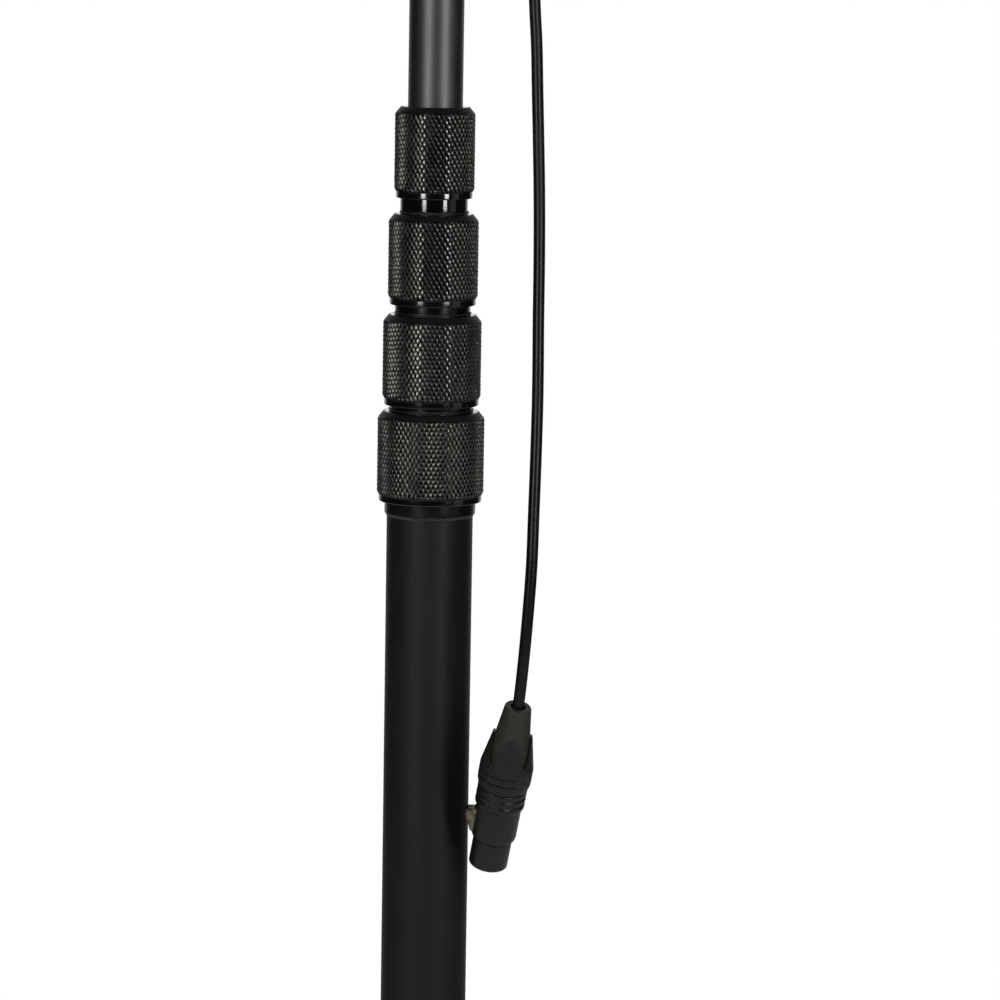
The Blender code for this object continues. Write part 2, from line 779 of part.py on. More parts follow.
def make_plug_boot(frame):
    outline = [
        (BOOT_END_R - 0.7 * MM, PLUG_LENGTH),
        (BOOT_END_R, PLUG_LENGTH - 0.6 * MM),
        (BOOT_FOOT_R, BOOT_FOOT),
        (BOOT_BORE_R, BOOT_FOOT),
        (BOOT_BORE_R, PLUG_LENGTH - 4 * MM),
        (BOOT_BORE_R + 0.2 * MM, PLUG_LENGTH),
    ]
    turned("plug_boot", outline, "rubber", sides=PLUG_SIDES, parent=frame)


def make_plug_chuck(frame):
    """The sleeve that grips the cable's jacket inside the bushing."""
    outline = [
        (4.4 * MM, 48.3 * MM),
        (7.2 * MM, 44.0 * MM),
        (7.2 * MM, 38.5 * MM),
        (2.7 * MM, 38.5 * MM),
        (2.7 * MM, 48.3 * MM),
    ]
    turned("plug_chuck", outline, "white_nylon", sides=PLUG_SIDES, parent=frame)


def make_plug_latch(frame):
    """The push tab, which slides towards the plug's axis on a leaf spring."""
    pivot = add_empty("latch_slide", Matrix.Translation((LATCH_FOOT_X, 0, 20 * MM)), frame)
    outline = [
        (0, -5.4 * MM),
        (2.5 * MM, -5.4 * MM),
        (3.6 * MM, -4.6 * MM),
        (5.9 * MM, 1.6 * MM),
        (6.5 * MM, 3.2 * MM),
        (6.5 * MM, 4.1 * MM),
        (6.0 * MM, 4.6 * MM),
        (2.6 * MM, 5.2 * MM),
        (2.3 * MM, 6.8 * MM),
        (0, 6.8 * MM),
    ]
    curve = bpy.data.curves.new("plug_latch", "CURVE")
    curve.dimensions = "2D"
    curve.fill_mode = "BOTH"
    curve.extrude = LATCH_WIDTH / 2
    spline = curve.splines.new("POLY")
    spline.points.add(len(outline) - 1)
    for place, (out, along) in zip(spline.points, outline):
        place.co = (out, along, 0, 1)
    spline.use_cyclic_u = True
    flat = add_object("plug_latch", curve, None)
    flat.matrix_world = Matrix.Rotation(math.pi / 2, 4, "X")
    latch = meshed(flat, pivot)
    latch.data.materials.append(finish("steel"))
    low = (INSERT_FLAT_X + 0.15 * MM, -1.8 * MM, 15.0 * MM)
    high = (INSERT_FLAT_X + 0.45 * MM, 1.8 * MM, 25.0 * MM)
    box("plug_latch_spring", low, high, "steel", parent=frame)


def make_free_cable():
    route = [Vector(point) * MM for point in CABLE_ROUTE]
    tube_along("free_cable", smooth_points(route, CABLE_STEP), CABLE_R, "cable_jacket")


def make_pole():
    make_end_cap()
    make_foot_ring()
    make_output()
    make_cable_inside()
    for section in range(1, SECTIONS + 1):
        make_tube(section)
        if section < SECTIONS:
            make_ferrule(section)
            make_collar(section)
            make_collet(section)
        if section > 1:
            make_guide_bushing(section)
        if 1 < section < SECTIONS:
            make_bumper(section)
    make_tip()
    make_stud()
    make_exit()


def make_plug():
    frame = plug_frame()
    make_plug_shell(frame)
    make_plug_insert(frame)
    make_plug_bushing(frame)
    make_plug_boot(frame)
    make_plug_chuck(frame)
    make_plug_latch(frame)


clear_scene()
PARTS = new_collection(COLLECTION)
CUTTERS = new_collection("cutters")
make_pole()
make_free_cable()
make_plug()
bpy.context.view_layer.update()
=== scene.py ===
import json
import math
import random

import bmesh
import bpy
from mathutils import Matrix, Vector


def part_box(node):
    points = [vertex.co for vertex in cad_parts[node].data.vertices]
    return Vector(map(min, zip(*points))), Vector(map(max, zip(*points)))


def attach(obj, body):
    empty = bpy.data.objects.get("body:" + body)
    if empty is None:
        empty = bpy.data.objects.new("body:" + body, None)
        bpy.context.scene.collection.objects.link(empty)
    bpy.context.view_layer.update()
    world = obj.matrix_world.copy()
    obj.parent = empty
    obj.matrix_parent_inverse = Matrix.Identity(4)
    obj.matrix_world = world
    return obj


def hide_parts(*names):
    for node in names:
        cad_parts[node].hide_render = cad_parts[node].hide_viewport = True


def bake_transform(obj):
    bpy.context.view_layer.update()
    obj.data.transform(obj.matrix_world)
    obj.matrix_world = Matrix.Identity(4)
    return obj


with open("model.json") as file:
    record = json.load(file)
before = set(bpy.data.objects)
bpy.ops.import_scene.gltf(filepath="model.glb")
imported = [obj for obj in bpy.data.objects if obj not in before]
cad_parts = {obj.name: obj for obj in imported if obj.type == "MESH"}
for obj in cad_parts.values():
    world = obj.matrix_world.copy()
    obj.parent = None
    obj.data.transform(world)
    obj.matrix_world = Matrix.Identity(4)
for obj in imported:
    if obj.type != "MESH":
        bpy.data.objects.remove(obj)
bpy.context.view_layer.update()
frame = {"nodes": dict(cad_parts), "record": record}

# The looks of the boom pole. Metres, in the frame of the CAD model: the pole stands along +Z.

MM = 0.001
RECORD = frame["record"]
BODY_OF = {node: body for body, nodes in RECORD["behaviour"]["bodies"].items() for node in nodes}
SLOT_OF = {part["node"]: part["material_slot"] for part in RECORD["subparts"]}
SECTIONS = 5
COLLARS = (1, 2, 3, 4)
SIDES = 128
SMALL_SIDES = 48
ROUND_STEPS = 5
TUBE_WALL = 1.2 * MM
FACE_GAP = 0.3 * MM
SPIGOT_PLAY = 0.06 * MM
SCREW_PLAY = 0.2 * MM
SIDE_SCREW_ANGLES = (90, 270)


# ---------------------------------------------------------------- camera, floor and light

CAMERA_ELEVATION = math.radians(8.0)
CAMERA_ROLL = math.radians(0.93)
CAMERA_DISTANCE = 1.784
CAMERA_FIELD = math.radians(13.06)
AIM_BESIDE = 28.6 * MM
AIM_ABOVE_COLLAR = 0.5 * MM


def make_camera():
    """The camera looks along +Y at a point beside the foot of the base collar."""
    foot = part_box("collar_1")[0].z
    aim = Vector((AIM_BESIDE, 0, foot + AIM_ABOVE_COLLAR))
    forward = Vector((0, math.cos(CAMERA_ELEVATION), -math.sin(CAMERA_ELEVATION)))
    right = Vector((1, 0, 0))
    up = right.cross(forward)
    turn = Matrix((right, up, -forward)).transposed() @ Matrix.Rotation(CAMERA_ROLL, 3, "Z")
    data = bpy.data.cameras.new("camera")
    data.sensor_fit = "HORIZONTAL"
    data.angle = CAMERA_FIELD
    camera = bpy.data.objects.new("camera", data)
    camera.matrix_world = Matrix.Translation(aim - CAMERA_DISTANCE * forward) @ turn.to_4x4()
    bpy.context.scene.collection.objects.link(camera)
    bpy.context.scene.camera = camera


def softbox(name, azimuth, distance, size, radiance, height):
    """An upright area light. Its azimuth is from the camera's side, positive to the right."""
    width, tall = size
    data = bpy.data.lights.new(name, "AREA")
    data.shape = "RECTANGLE"
    data.size = width
    data.size_y = tall
    data.energy = radiance * math.pi * width * tall
    light = bpy.data.objects.new(name, data)
    angle = math.radians(azimuth)
    side = Vector((math.sin(angle), -math.cos(angle), 0))
    light.location = side * distance + Vector((0, 0, height))
    light.rotation_euler = side.to_track_quat("Z", "Y").to_euler()
    light.visible_camera = False
    bpy.context.scene.collection.objects.link(light)


def node_of(tree, kind, **values):
    """A new node; its named values are input defaults, or the node's own settings."""
    node = tree.nodes.new(kind)
    for name, value in values.items():
        label = name.replace("_", " ")
        if label in node.inputs:
            node.inputs[label].default_value = value
        else:
            setattr(node, name, value)
    return node


def map_range(tree, source, low, high, to_low, to_high, smooth=False):
    node = tree.nodes.new("ShaderNodeMapRange")
    node.interpolation_type = "SMOOTHSTEP" if smooth else "LINEAR"
    node.inputs["From Min"].default_value = low
    node.inputs["From Max"].default_value = high
    node.inputs["To Min"].default_value = to_low
    node.inputs["To Max"].default_value = to_high
    tree.links.new(source, node.inputs["Value"])
    return node.outputs["Result"]


def combine(tree, operation, first, second):
    """A Math node of a socket with another socket or a number."""
    node = node_of(tree, "ShaderNodeMath", operation=operation)
    tree.links.new(first, node.inputs[0])
    if isinstance(second, (int, float)):
        node.inputs[1].default_value = second
    else:
        tree.links.new(second, node.inputs[1])
    return node.outputs[0]


def multiply(tree, first, second):
    return combine(tree, "MULTIPLY", first, second)


def add(tree, first, second):
    return combine(tree, "ADD", first, second)


def mixed(tree, first, second, share):
    """A share of the first socket, and the rest of the second."""
    return add(tree, multiply(tree, first, share), multiply(tree, second, 1 - share))


# How much light comes from the dark room in front and from the paper sweep behind, how fast the
# sweep's edge rises towards the zenith, and where along it the light changes
FRONT_LIGHT = 0.02
BACK_LIGHT = 1.0
SWEEP_RISE = 0.35
SWEEP_FADE = (0.62, 1.0)


def make_world():
    """A white paper sweep behind and over the object, and a dark room in front of it.

    The camera sees white all round. Only the light on the object has the dark side.
    """
    world = bpy.data.worlds.new("studio")
    bpy.context.scene.world = world
    world.use_nodes = True
    tree = world.node_tree
    tree.nodes.clear()
    direction = node_of(tree, "ShaderNodeTexCoord").outputs["Generated"]
    axes = node_of(tree, "ShaderNodeSeparateXYZ")
    tree.links.new(direction, axes.inputs[0])
    sweep = add(tree, axes.outputs["Y"], multiply(tree, axes.outputs["Z"], SWEEP_RISE))
    glow = node_of(tree, "ShaderNodeBackground", Color=(1, 1, 1, 1))
    light = map_range(tree, sweep, *SWEEP_FADE, FRONT_LIGHT, BACK_LIGHT, smooth=True)
    tree.links.new(light, glow.inputs["Strength"])
    paper = node_of(tree, "ShaderNodeBackground", Color=(1, 1, 1, 1), Strength=1.0)
    seen = node_of(tree, "ShaderNodeLightPath").outputs["Is Camera Ray"]
    mix = node_of(tree, "ShaderNodeMixShader")
    tree.links.new(seen, mix.inputs[0])
    tree.links.new(glow.outputs[0], mix.inputs[1])
    tree.links.new(paper.outputs[0], mix.inputs[2])
    output = node_of(tree, "ShaderNodeOutputWorld")
    tree.links.new(mix.outputs[0], output.inputs["Surface"])


FLOOR_R = 0.95
FLOOR_FADE = (0.25, 0.85)
FLOOR_BELOW = 0.2 * MM
FLOOR_COLOUR = (0.86, 0.86, 0.85, 1)
FLOOR_LEAST_WHITE = 0.35
# The floor's own light, as the object meets it. The camera sees it at full strength.
FLOOR_GLOW = 0.35


def make_floor():
    """A round pale sheet of paper under the pole, which fades into the white round it."""
    mesh = bpy.data.meshes.new("floor")
    made = bmesh.new()
    bmesh.ops.create_circle(made, cap_ends=True, radius=FLOOR_R, segments=96)
    made.to_mesh(mesh)
    made.free()
    floor = bpy.data.objects.new("floor", mesh)
    floor.location.z = -FLOOR_BELOW
    bpy.context.scene.collection.objects.link(floor)
    material = bpy.data.materials.new("floor_paper")
    material.use_nodes = True
    tree = material.node_tree
    paper = tree.nodes["Principled BSDF"]
    paper.inputs["Base Color"].default_value = FLOOR_COLOUR
    paper.inputs["Roughness"].default_value = 0.9
    place = node_of(tree, "ShaderNodeTexCoord").outputs["Object"]
    length = node_of(tree, "ShaderNodeVectorMath", operation="LENGTH")
    tree.links.new(place, length.inputs[0])
    fade = map_range(tree, length.outputs["Value"], *FLOOR_FADE, FLOOR_LEAST_WHITE, 1.0, smooth=True)
    white = node_of(tree, "ShaderNodeEmission")
    seen = node_of(tree, "ShaderNodeLightPath").outputs["Is Camera Ray"]
    tree.links.new(map_range(tree, seen, 0, 1, FLOOR_GLOW, 1.0), white.inputs["Strength"])
    mix = node_of(tree, "ShaderNodeMixShader")
    tree.links.new(fade, mix.inputs[0])
    tree.links.new(paper.outputs[0], mix.inputs[1])
    tree.links.new(white.outputs[0], mix.inputs[2])
    tree.links.new(mix.outputs[0], tree.nodes["Material Output"].inputs["Surface"])
    mesh.materials.append(material)


STRIP_DISTANCE = 1.5
STRIP_SIZE = (0.32, 1.5)
STRIP_RADIANCE = 6.4
STRIP_HEIGHT = 1.1


def make_stage():
    make_camera()
    make_world()
    make_floor()
    softbox("strip_left", -32, STRIP_DISTANCE, STRIP_SIZE, STRIP_RADIANCE, STRIP_HEIGHT)
    softbox("strip_right", 39, STRIP_DISTANCE, STRIP_SIZE, STRIP_RADIANCE, STRIP_HEIGHT)
    softbox("panel_right", azimuth=68, distance=1.3, size=(0.55, 1.8), radiance=0.16, height=1.0)
    scene = bpy.context.scene
    scene.view_settings.view_transform = "Standard"
    scene.view_settings.look = "None"


# ---------------------------------------------------------------- materials


def surface(name, colour, roughness, metallic=0.0, specular=0.5):
    """A new material's tree and shader, with the values that are the same all over it."""
    material = bpy.data.materials.new(name)
    material.use_nodes = True
    shader = material.node_tree.nodes["Principled BSDF"]
    shader.inputs["Base Color"].default_value = (*colour, 1)
    shader.inputs["Roughness"].default_value = roughness
    shader.inputs["Metallic"].default_value = metallic
    shader.inputs["Specular IOR Level"].default_value = specular
    return material, material.node_tree, shader


EVEN = (1, 1, 1)


def grain(tree, scale, stretch=EVEN, detail=3.0):
    """Noise in the piece's own frame. A stretch under 1 draws it out along that axis."""
    place = node_of(tree, "ShaderNodeTexCoord").outputs["Object"]
    mapping = node_of(tree, "ShaderNodeMapping", Scale=stretch)
    tree.links.new(place, mapping.inputs["Vector"])
    noise = node_of(tree, "ShaderNodeTexNoise", Scale=scale, Detail=detail)
    tree.links.new(mapping.outputs["Vector"], noise.inputs["Vector"])
    return noise.outputs["Fac"]


def vary_roughness(tree, shader, source, low, high):
    tree.links.new(map_range(tree, source, 0.3, 0.7, low, high), shader.inputs["Roughness"])


def vary_colour(tree, shader, source, dark, light):
    ramp = node_of(tree, "ShaderNodeValToRGB")
    ramp.color_ramp.elements[0].position = 0.35
    ramp.color_ramp.elements[0].color = (*dark, 1)
    ramp.color_ramp.elements[1].position = 0.65
    ramp.color_ramp.elements[1].color = (*light, 1)
    tree.links.new(source, ramp.inputs["Fac"])
    tree.links.new(ramp.outputs["Color"], shader.inputs["Base Color"])


def bump(tree, shader, source, distance):
    node = node_of(tree, "ShaderNodeBump", Strength=1.0, Distance=distance)
    tree.links.new(source, node.inputs["Height"])
    tree.links.new(node.outputs["Normal"], shader.inputs["Normal"])


TOOL_MARKS = (1400, (0.03, 0.03, 1))
SMEARS = (120, EVEN, 4.0)


def grainy(name, colour, roughness, gloss, rough, depth, relief=None, tints=None, **looks):
    """A material whose gloss varies with a grain, and its colour too if it has two tints.

    The relief is another grain, or the same one. A grain is what grain() takes after the tree.
    """
    material, tree, shader = surface(name, colour, roughness, **looks)
    source = grain(tree, *gloss)
    vary_roughness(tree, shader, source, *rough)
    if tints:
        vary_colour(tree, shader, source, *tints)
    bump(tree, shader, grain(tree, *relief) if relief else source, depth * MM)
    return material


def base_tube_black():
    """Satin black anodising over tube drawn lengthwise, with faint handling marks."""
    material, tree, shader = surface("base_tube_black", (0.006, 0.006, 0.0055), 0.50, specular=0.3)
    fine = grain(tree, 900, (1, 1, 0.06))
    marks = grain(tree, 60, (1, 1, 0.4), 5.0)
    vary_roughness(tree, shader, mixed(tree, fine, marks, 0.4), 0.46, 0.58)
    vary_colour(tree, shader, marks, (0.0105, 0.0105, 0.0095), (0.0135, 0.0135, 0.0125))
    bump(tree, shader, fine, 0.006 * MM)
    return material


def tube_grey():
    """Dark grey anodising on the inner tubes, brighter in its highlights."""
    material, tree, shader = surface("tube_grey", (0.12, 0.12, 0.122), 0.38, metallic=1.0)
    fine = grain(tree, 1100, (1, 1, 0.05))
    marks = grain(tree, 70, (1, 1, 0.5), 5.0)
    vary_roughness(tree, shader, mixed(tree, fine, marks, 0.5), 0.40, 0.48)
    vary_colour(tree, shader, marks, (0.122, 0.122, 0.124), (0.140, 0.140, 0.142))
    bump(tree, shader, fine, 0.005 * MM)
    return material


def neck_black():
    """Gloss black anodising on turned metal, with tool marks round it."""
    return grainy(
        "neck_black", (0.11, 0.11, 0.115), 0.08, metallic=1.0,
        gloss=SMEARS, rough=(0.06, 0.14), depth=0.003,
        relief=TOOL_MARKS,
    )


def neck_dull():
    """Satin black anodising, as on the third section's ferrule."""
    return grainy(
        "neck_dull", (0.045, 0.045, 0.047), 0.36, metallic=1.0,
        gloss=SMEARS, rough=(0.20, 0.34), depth=0.003,
        relief=TOOL_MARKS,
    )


def neck_milky():
    """Gloss black anodising dulled in patches by grease, as on the second section's ferrule."""
    return grainy(
        "neck_milky", (0.09, 0.09, 0.093), 0.22, metallic=1.0,
        gloss=(160, EVEN, 5.0), rough=(0.10, 0.26), depth=0.004,
        tints=((0.07, 0.07, 0.073), (0.12, 0.12, 0.122)),
    )


def ring_blue():
    """Satin black with a cool tint, on the ring at the top of the base tube."""
    return grainy(
        "ring_blue", (0.007, 0.008, 0.0105), 0.26,
        gloss=SMEARS, rough=(0.20, 0.32), depth=0.003,
        relief=TOOL_MARKS,
        tints=((0.0055, 0.0062, 0.0082), (0.0085, 0.0095, 0.0125)),
    )


def collar_black():
    """Black anodising on the knurl's flanks, painted pale near the crests and dark down in the
    grooves: painted shade, partly dirt in the pits.
    """
    material, tree, shader = surface("collar_black", (0.07, 0.07, 0.065), 0.46, metallic=1.0)
    fine = grain(tree, 1500, detail=4.0)
    marks = grain(tree, 160)
    vary_roughness(tree, shader, mixed(tree, fine, marks, 0.5), 0.27, 0.40)
    # Painted shade, partly dirt: the colour darkens with each point's depth in the groove.
    depth = node_of(tree, "ShaderNodeAttribute", attribute_name="depth").outputs["Fac"]
    height = map_range(tree, depth, 0.15, 0.9, 0.7, 0.3)
    shade = mixed(tree, height, marks, 0.8)
    vary_colour(tree, shader, shade, (0.006, 0.006, 0.005), (0.155, 0.155, 0.143))
    bump(tree, shader, fine, 0.008 * MM)
    return material


def turned_black():
    """Gloss black with tool marks, on the knurl's crests and the collars' other turned faces."""
    return grainy(
        "turned_black", (0.13, 0.13, 0.128), 0.12, metallic=1.0,
        gloss=(140, EVEN, 4.0), rough=(0.08, 0.16), depth=0.003,
        relief=TOOL_MARKS,
    )


def chamfer_shaded_black():
    """The collars' top chamfers: the collar's black anodising, painted darker than on its other faces
    as painted shade on these faces that tilt up.
    """
    return grainy(
        "chamfer_shaded_black", (0.005, 0.005, 0.004), 0.50, specular=0.25,
        gloss=(1500, EVEN, 4.0), rough=(0.48, 0.62), depth=0.012,
        tints=((0.004, 0.004, 0.0033), (0.006, 0.006, 0.005)),
    )


def fitting_black():
    """Satin black anodising on turned fittings."""
    return grainy(
        "fitting_black", (0.09, 0.09, 0.09), 0.24, metallic=1.0,
        gloss=(110, EVEN, 4.0), rough=(0.20, 0.32), depth=0.005,
        relief=(1300, (0.03, 0.03, 1)),
    )


def rubber():
    return grainy(
        "rubber", (0.008, 0.008, 0.008), 0.5,
        gloss=(1600, EVEN, 5.0), rough=(0.42, 0.60), depth=0.03,
    )


def black_plastic():
    return grainy(
        "black_plastic", (0.018, 0.018, 0.018), 0.42,
        gloss=(1800,), rough=(0.36, 0.50), depth=0.012,
    )


def gold_contacts():
    return grainy(
        "gold_contacts", (0.80, 0.56, 0.24), 0.22, metallic=1.0,
        gloss=(1500, (1, 1, 0.1)), rough=(0.16, 0.30), depth=0.003,
    )


def steel():
    """Bright turned steel, with tool marks round it."""
    return grainy(
        "steel", (0.46, 0.46, 0.47), 0.28, metallic=1.0,
        gloss=(200, EVEN, 4.0), rough=(0.20, 0.36), depth=0.004,
        relief=(1600, (0.05, 0.05, 1)),
    )


def latch_nickel():
    """Nickel with a warm tint, worn to a duller face where a thumb presses."""
    return grainy(
        "latch_nickel", (0.24, 0.21, 0.15), 0.26, metallic=1.0,
        gloss=(500, EVEN, 4.0), rough=(0.18, 0.40), depth=0.006,
        tints=((0.16, 0.14, 0.095), (0.34, 0.31, 0.23)),
    )


def cable_jacket():
    """Flexible black jacket: satin, with glossier runs where it has been handled."""
    return grainy(
        "cable_jacket", (0.009, 0.009, 0.008), 0.40, specular=0.4,
        gloss=(90, (1, 1, 0.25), 4.0), rough=(0.26, 0.48), depth=0.015,
        relief=(1400, EVEN, 4.0),
        tints=((0.004, 0.0042, 0.0032), (0.0065, 0.0068, 0.0053)),
    )


def white_nylon():
    material = grainy(
        "white_nylon", (0.60, 0.59, 0.55), 0.42,
        gloss=(1300,), rough=(0.36, 0.50), depth=0.010,
    )
    shader = material.node_tree.nodes["Principled BSDF"]
    shader.inputs["Subsurface Weight"].default_value = 0.1
    shader.inputs["Subsurface Scale"].default_value = 1.0 * MM
    return material


def plug_shell_black():
    """Satin black lacquer over a die casting."""
    material, tree, shader = surface("plug_shell_black", (0.011, 0.0115, 0.009), 0.32, specular=0.5)
    peel = grain(tree, 420, detail=2.0)
    fine = grain(tree, 1700)
    vary_roughness(tree, shader, mixed(tree, fine, peel, 0.5), 0.27, 0.38)
    vary_colour(tree, shader, peel, (0.0105, 0.0110, 0.0075), (0.0135, 0.0140, 0.0105))
    bump(tree, shader, fine, 0.010 * MM)
    return material


def plug_bushing_black():
    """Moulded black plastic with a soft bluish bloom."""
    return grainy(
        "plug_bushing_black", (0.009, 0.0105, 0.0105), 0.46, specular=0.35,
        gloss=(260,), rough=(0.38, 0.52), depth=0.012,
        relief=(1900,),
        tints=((0.0180, 0.0195, 0.0165), (0.0215, 0.0230, 0.0200)),
    )


def boot_rubber():
    """Soft matt elastomer, a little dusty."""
    return grainy(
        "boot_rubber", (0.020, 0.020, 0.017), 0.60, specular=0.4,
        gloss=(300, EVEN, 5.0), rough=(0.50, 0.68), depth=0.020,
        relief=(2000, EVEN, 4.0),
        tints=((0.033, 0.033, 0.0265), (0.042, 0.042, 0.035)),
    )


def adhesive():
    """A thin bead of grey cured adhesive."""
    return grainy(
        "adhesive", (0.10, 0.10, 0.095), 0.40,
        gloss=(500, EVEN, 4.0), rough=(0.30, 0.55), depth=0.05,
        tints=((0.030, 0.030, 0.028), (0.080, 0.080, 0.074)),
    )


MATERIALS = {
    make.__name__: make()
    for make in (
        base_tube_black,
        tube_grey,
        neck_black,
        neck_dull,
        neck_milky,
        ring_blue,
        collar_black,
        turned_black,
        chamfer_shaded_black,
        fitting_black,
        rubber,
        black_plastic,
        gold_contacts,
        steel,
        latch_nickel,
        cable_jacket,
        white_nylon,
        plug_shell_black,
        plug_bushing_black,
        boot_rubber,
        adhesive,
    )
}


# ---------------------------------------------------------------- shapes


def extent(node):
    """Foot, top and outer radius of a turned CAD node that stands on the pole's axis."""
    low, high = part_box(node)
    return low.z, high.z, high.x


def middle_height(node):
    low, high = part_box(node)
    return (low.z + high.z) / 2


def outlined(*corners):
    """An outline of (radius, height, rounding) corners, the rounded ones drawn as curves."""
    points = [Vector(c[:2]) for c in corners]
    found = []
    for i, corner in enumerate(corners):
        cut = corner[2] if len(corner) > 2 else 0
        here = points[i]
        if not cut:
            found.append(here)
            continue
        before = here + (points[i - 1] - here).normalized() * cut
        after = here + (points[(i + 1) % len(points)] - here).normalized() * cut
        for step in range(ROUND_STEPS + 1):
            t = step / ROUND_STEPS
            found.append(before.lerp(here, t).lerp(here.lerp(after, t), t))
    return [(p.x, p.y) for p in found]


CREASE = 32
KNURL_CREASE = 18


def mesh_piece(name, points, faces, crease=CREASE):
    """A new object of these points and faces, its normals outward, smooth but for its creases."""
    mesh = bpy.data.meshes.new(name)
    mesh.from_pydata([tuple(p) for p in points], [], [tuple(f) for f in faces])
    made = bmesh.new()
    made.from_mesh(mesh)
    bmesh.ops.remove_doubles(made, verts=made.verts, dist=1e-7)
    bmesh.ops.recalc_face_normals(made, faces=made.faces)
    made.to_mesh(mesh)
    made.free()
    mesh.shade_smooth()
    mesh.set_sharp_from_angle(angle=math.radians(crease))
    piece = bpy.data.objects.new(name, mesh)
    bpy.context.scene.collection.objects.link(piece)
    return piece


def lathe(name, outline, sides=SIDES, shape=None):
    """A closed (radius, height) outline turned about Z. shape(angle, radius, height) moves points."""
    points = []
    for side in range(sides):
        angle = math.tau * side / sides
        for radius, height in outline:
            r, z = shape(angle, radius, height) if shape else (radius, height)
            points.append((r * math.cos(angle), r * math.sin(angle), z))
    count = len(outline)
    on_axis = outline[0][0] == 0
    faces = []
    for side in range(sides):
        here, there = side * count, (side + 1) % sides * count
        for i in range(count - 1 if on_axis else count):
            j = (i + 1) % count
            faces.append((here + i, here + j, there + j, there + i))
    return mesh_piece(name, points, faces)


def placed(piece, matrix):
    piece.matrix_world = matrix
    return piece


def radial(angle, height):
    """A frame at a height on the pole's axis whose +Z points out of the pole at an angle."""
    turn = Matrix.Rotation(math.radians(angle), 4, "Z") @ Matrix.Rotation(math.pi / 2, 4, "Y")
    return Matrix.Translation((0, 0, height)) @ turn


def carve(piece, *cutters):
    """Cuts the cutters out of a piece, applies the cuts and removes the cutters."""
    for cutter in cutters:
        modifier = piece.modifiers.new(cutter.name, "BOOLEAN")
        modifier.operation = "DIFFERENCE"
        modifier.solver = "EXACT"
        modifier.object = cutter
    bpy.context.view_layer.update()
    graph = bpy.context.evaluated_depsgraph_get()
    mesh = bpy.data.meshes.new_from_object(piece.evaluated_get(graph))
    piece.modifiers.clear()
    piece.data = mesh
    for cutter in cutters:
        bpy.data.objects.remove(cutter)
    mesh.shade_smooth()
    mesh.set_sharp_from_angle(angle=math.radians(CREASE))
    return piece


def plain_rod(name, radius, foot, top, matrix=None, sides=SMALL_SIDES):
    """A rod with plain ends: a cutter for carve."""
    rod = lathe(name, [(0, top), (radius, top), (radius, foot), (0, foot)], sides)
    return placed(rod, matrix) if matrix else rod


def plain_box(name, low, high):
    """A box between two corners: a cutter for carve."""
    xs, ys, zs = zip(low, high)
    points = [(x, y, z) for x in xs for y in ys for z in zs]
    faces = [(0, 1, 3, 2), (4, 6, 7, 5), (0, 4, 5, 1), (2, 3, 7, 6), (0, 2, 6, 4), (1, 5, 7, 3)]
    return mesh_piece(name, points, faces)


def screw_hole_radius(node):
    low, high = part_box(node)
    return (high.z - low.z) / 2 + SCREW_PLAY


def screw_holes(node, angles, inner, outer):
    """Cutters for the holes of screws like a node, along radii at its height."""
    hole, height = screw_hole_radius(node), middle_height(node)
    return [plain_rod(f"hole_{a}", hole, inner, outer, radial(a, height)) for a in angles]


def stands_for(piece, *nodes, material=None):
    """Gives a piece the body of the CAD nodes that it replaces, and their slot's material unless
    another is given.
    """
    slot = SLOT_OF[nodes[0]]
    piece.data.materials.clear()
    piece.data.materials.append(MATERIALS[material or slot])
    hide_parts(*nodes)
    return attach(piece, BODY_OF[nodes[0]])


def goes_with(piece, node, material=None):
    """Gives an added piece the body of a CAD node that stays or is replaced, and its slot's material
    unless another is given.
    """
    slot = SLOT_OF[node]
    piece.data.materials.clear()
    piece.data.materials.append(MATERIALS[material or slot])
    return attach(piece, BODY_OF[node])


# ---------------------------------------------------------------- the free lead

CABLE_DIAMETER = 4.7 * MM
CABLE_STEP = 2.0 * MM

# From the grommet to the plug's boot, in metres
CABLE_ROUTE = (
    (0.01593, -0.01337, 0.76400),
    (0.02040, -0.01720, 0.76360),
    (0.02640, -0.02230, 0.76040),
    (0.03120, -0.02650, 0.75340),
    (0.03450, -0.02940, 0.74350),
    (0.03660, -0.03130, 0.73100),
    (0.03790, -0.03270, 0.71600),
    (0.03860, -0.03370, 0.70000),
    (0.03930, -0.03440, 0.68600),
    (0.04020, -0.03490, 0.67200),
    (0.04080, -0.03540, 0.65500),
    (0.04150, -0.03610, 0.63600),
    (0.04220, -0.03720, 0.61400),
    (0.04260, -0.03890, 0.59000),
    (0.04270, -0.04110, 0.56400),
    (0.04290, -0.04380, 0.53500),
    (0.04260, -0.04640, 0.51000),
    (0.04210, -0.04850, 0.48700),
    (0.04160, -0.04970, 0.46600),
    (0.04050, -0.04920, 0.44700),
    (0.03920, -0.04680, 0.42900),
    (0.03785, -0.04360, 0.41360),
    (0.03730, -0.04211, 0.40838),
)


def catmull_rom(p0, p1, p2, p3, knots, t):
    t0, t1, t2, t3 = knots
    a1 = p0.lerp(p1, (t - t0) / (t1 - t0))
    a2 = p1.lerp(p2, (t - t1) / (t2 - t1))
    a3 = p2.lerp(p3, (t - t2) / (t3 - t2))
    b1 = a1.lerp(a2, (t - t0) / (t2 - t0))
    b2 = a2.lerp(a3, (t - t1) / (t3 - t1))
    return b1.lerp(b2, (t - t1) / (t2 - t1))


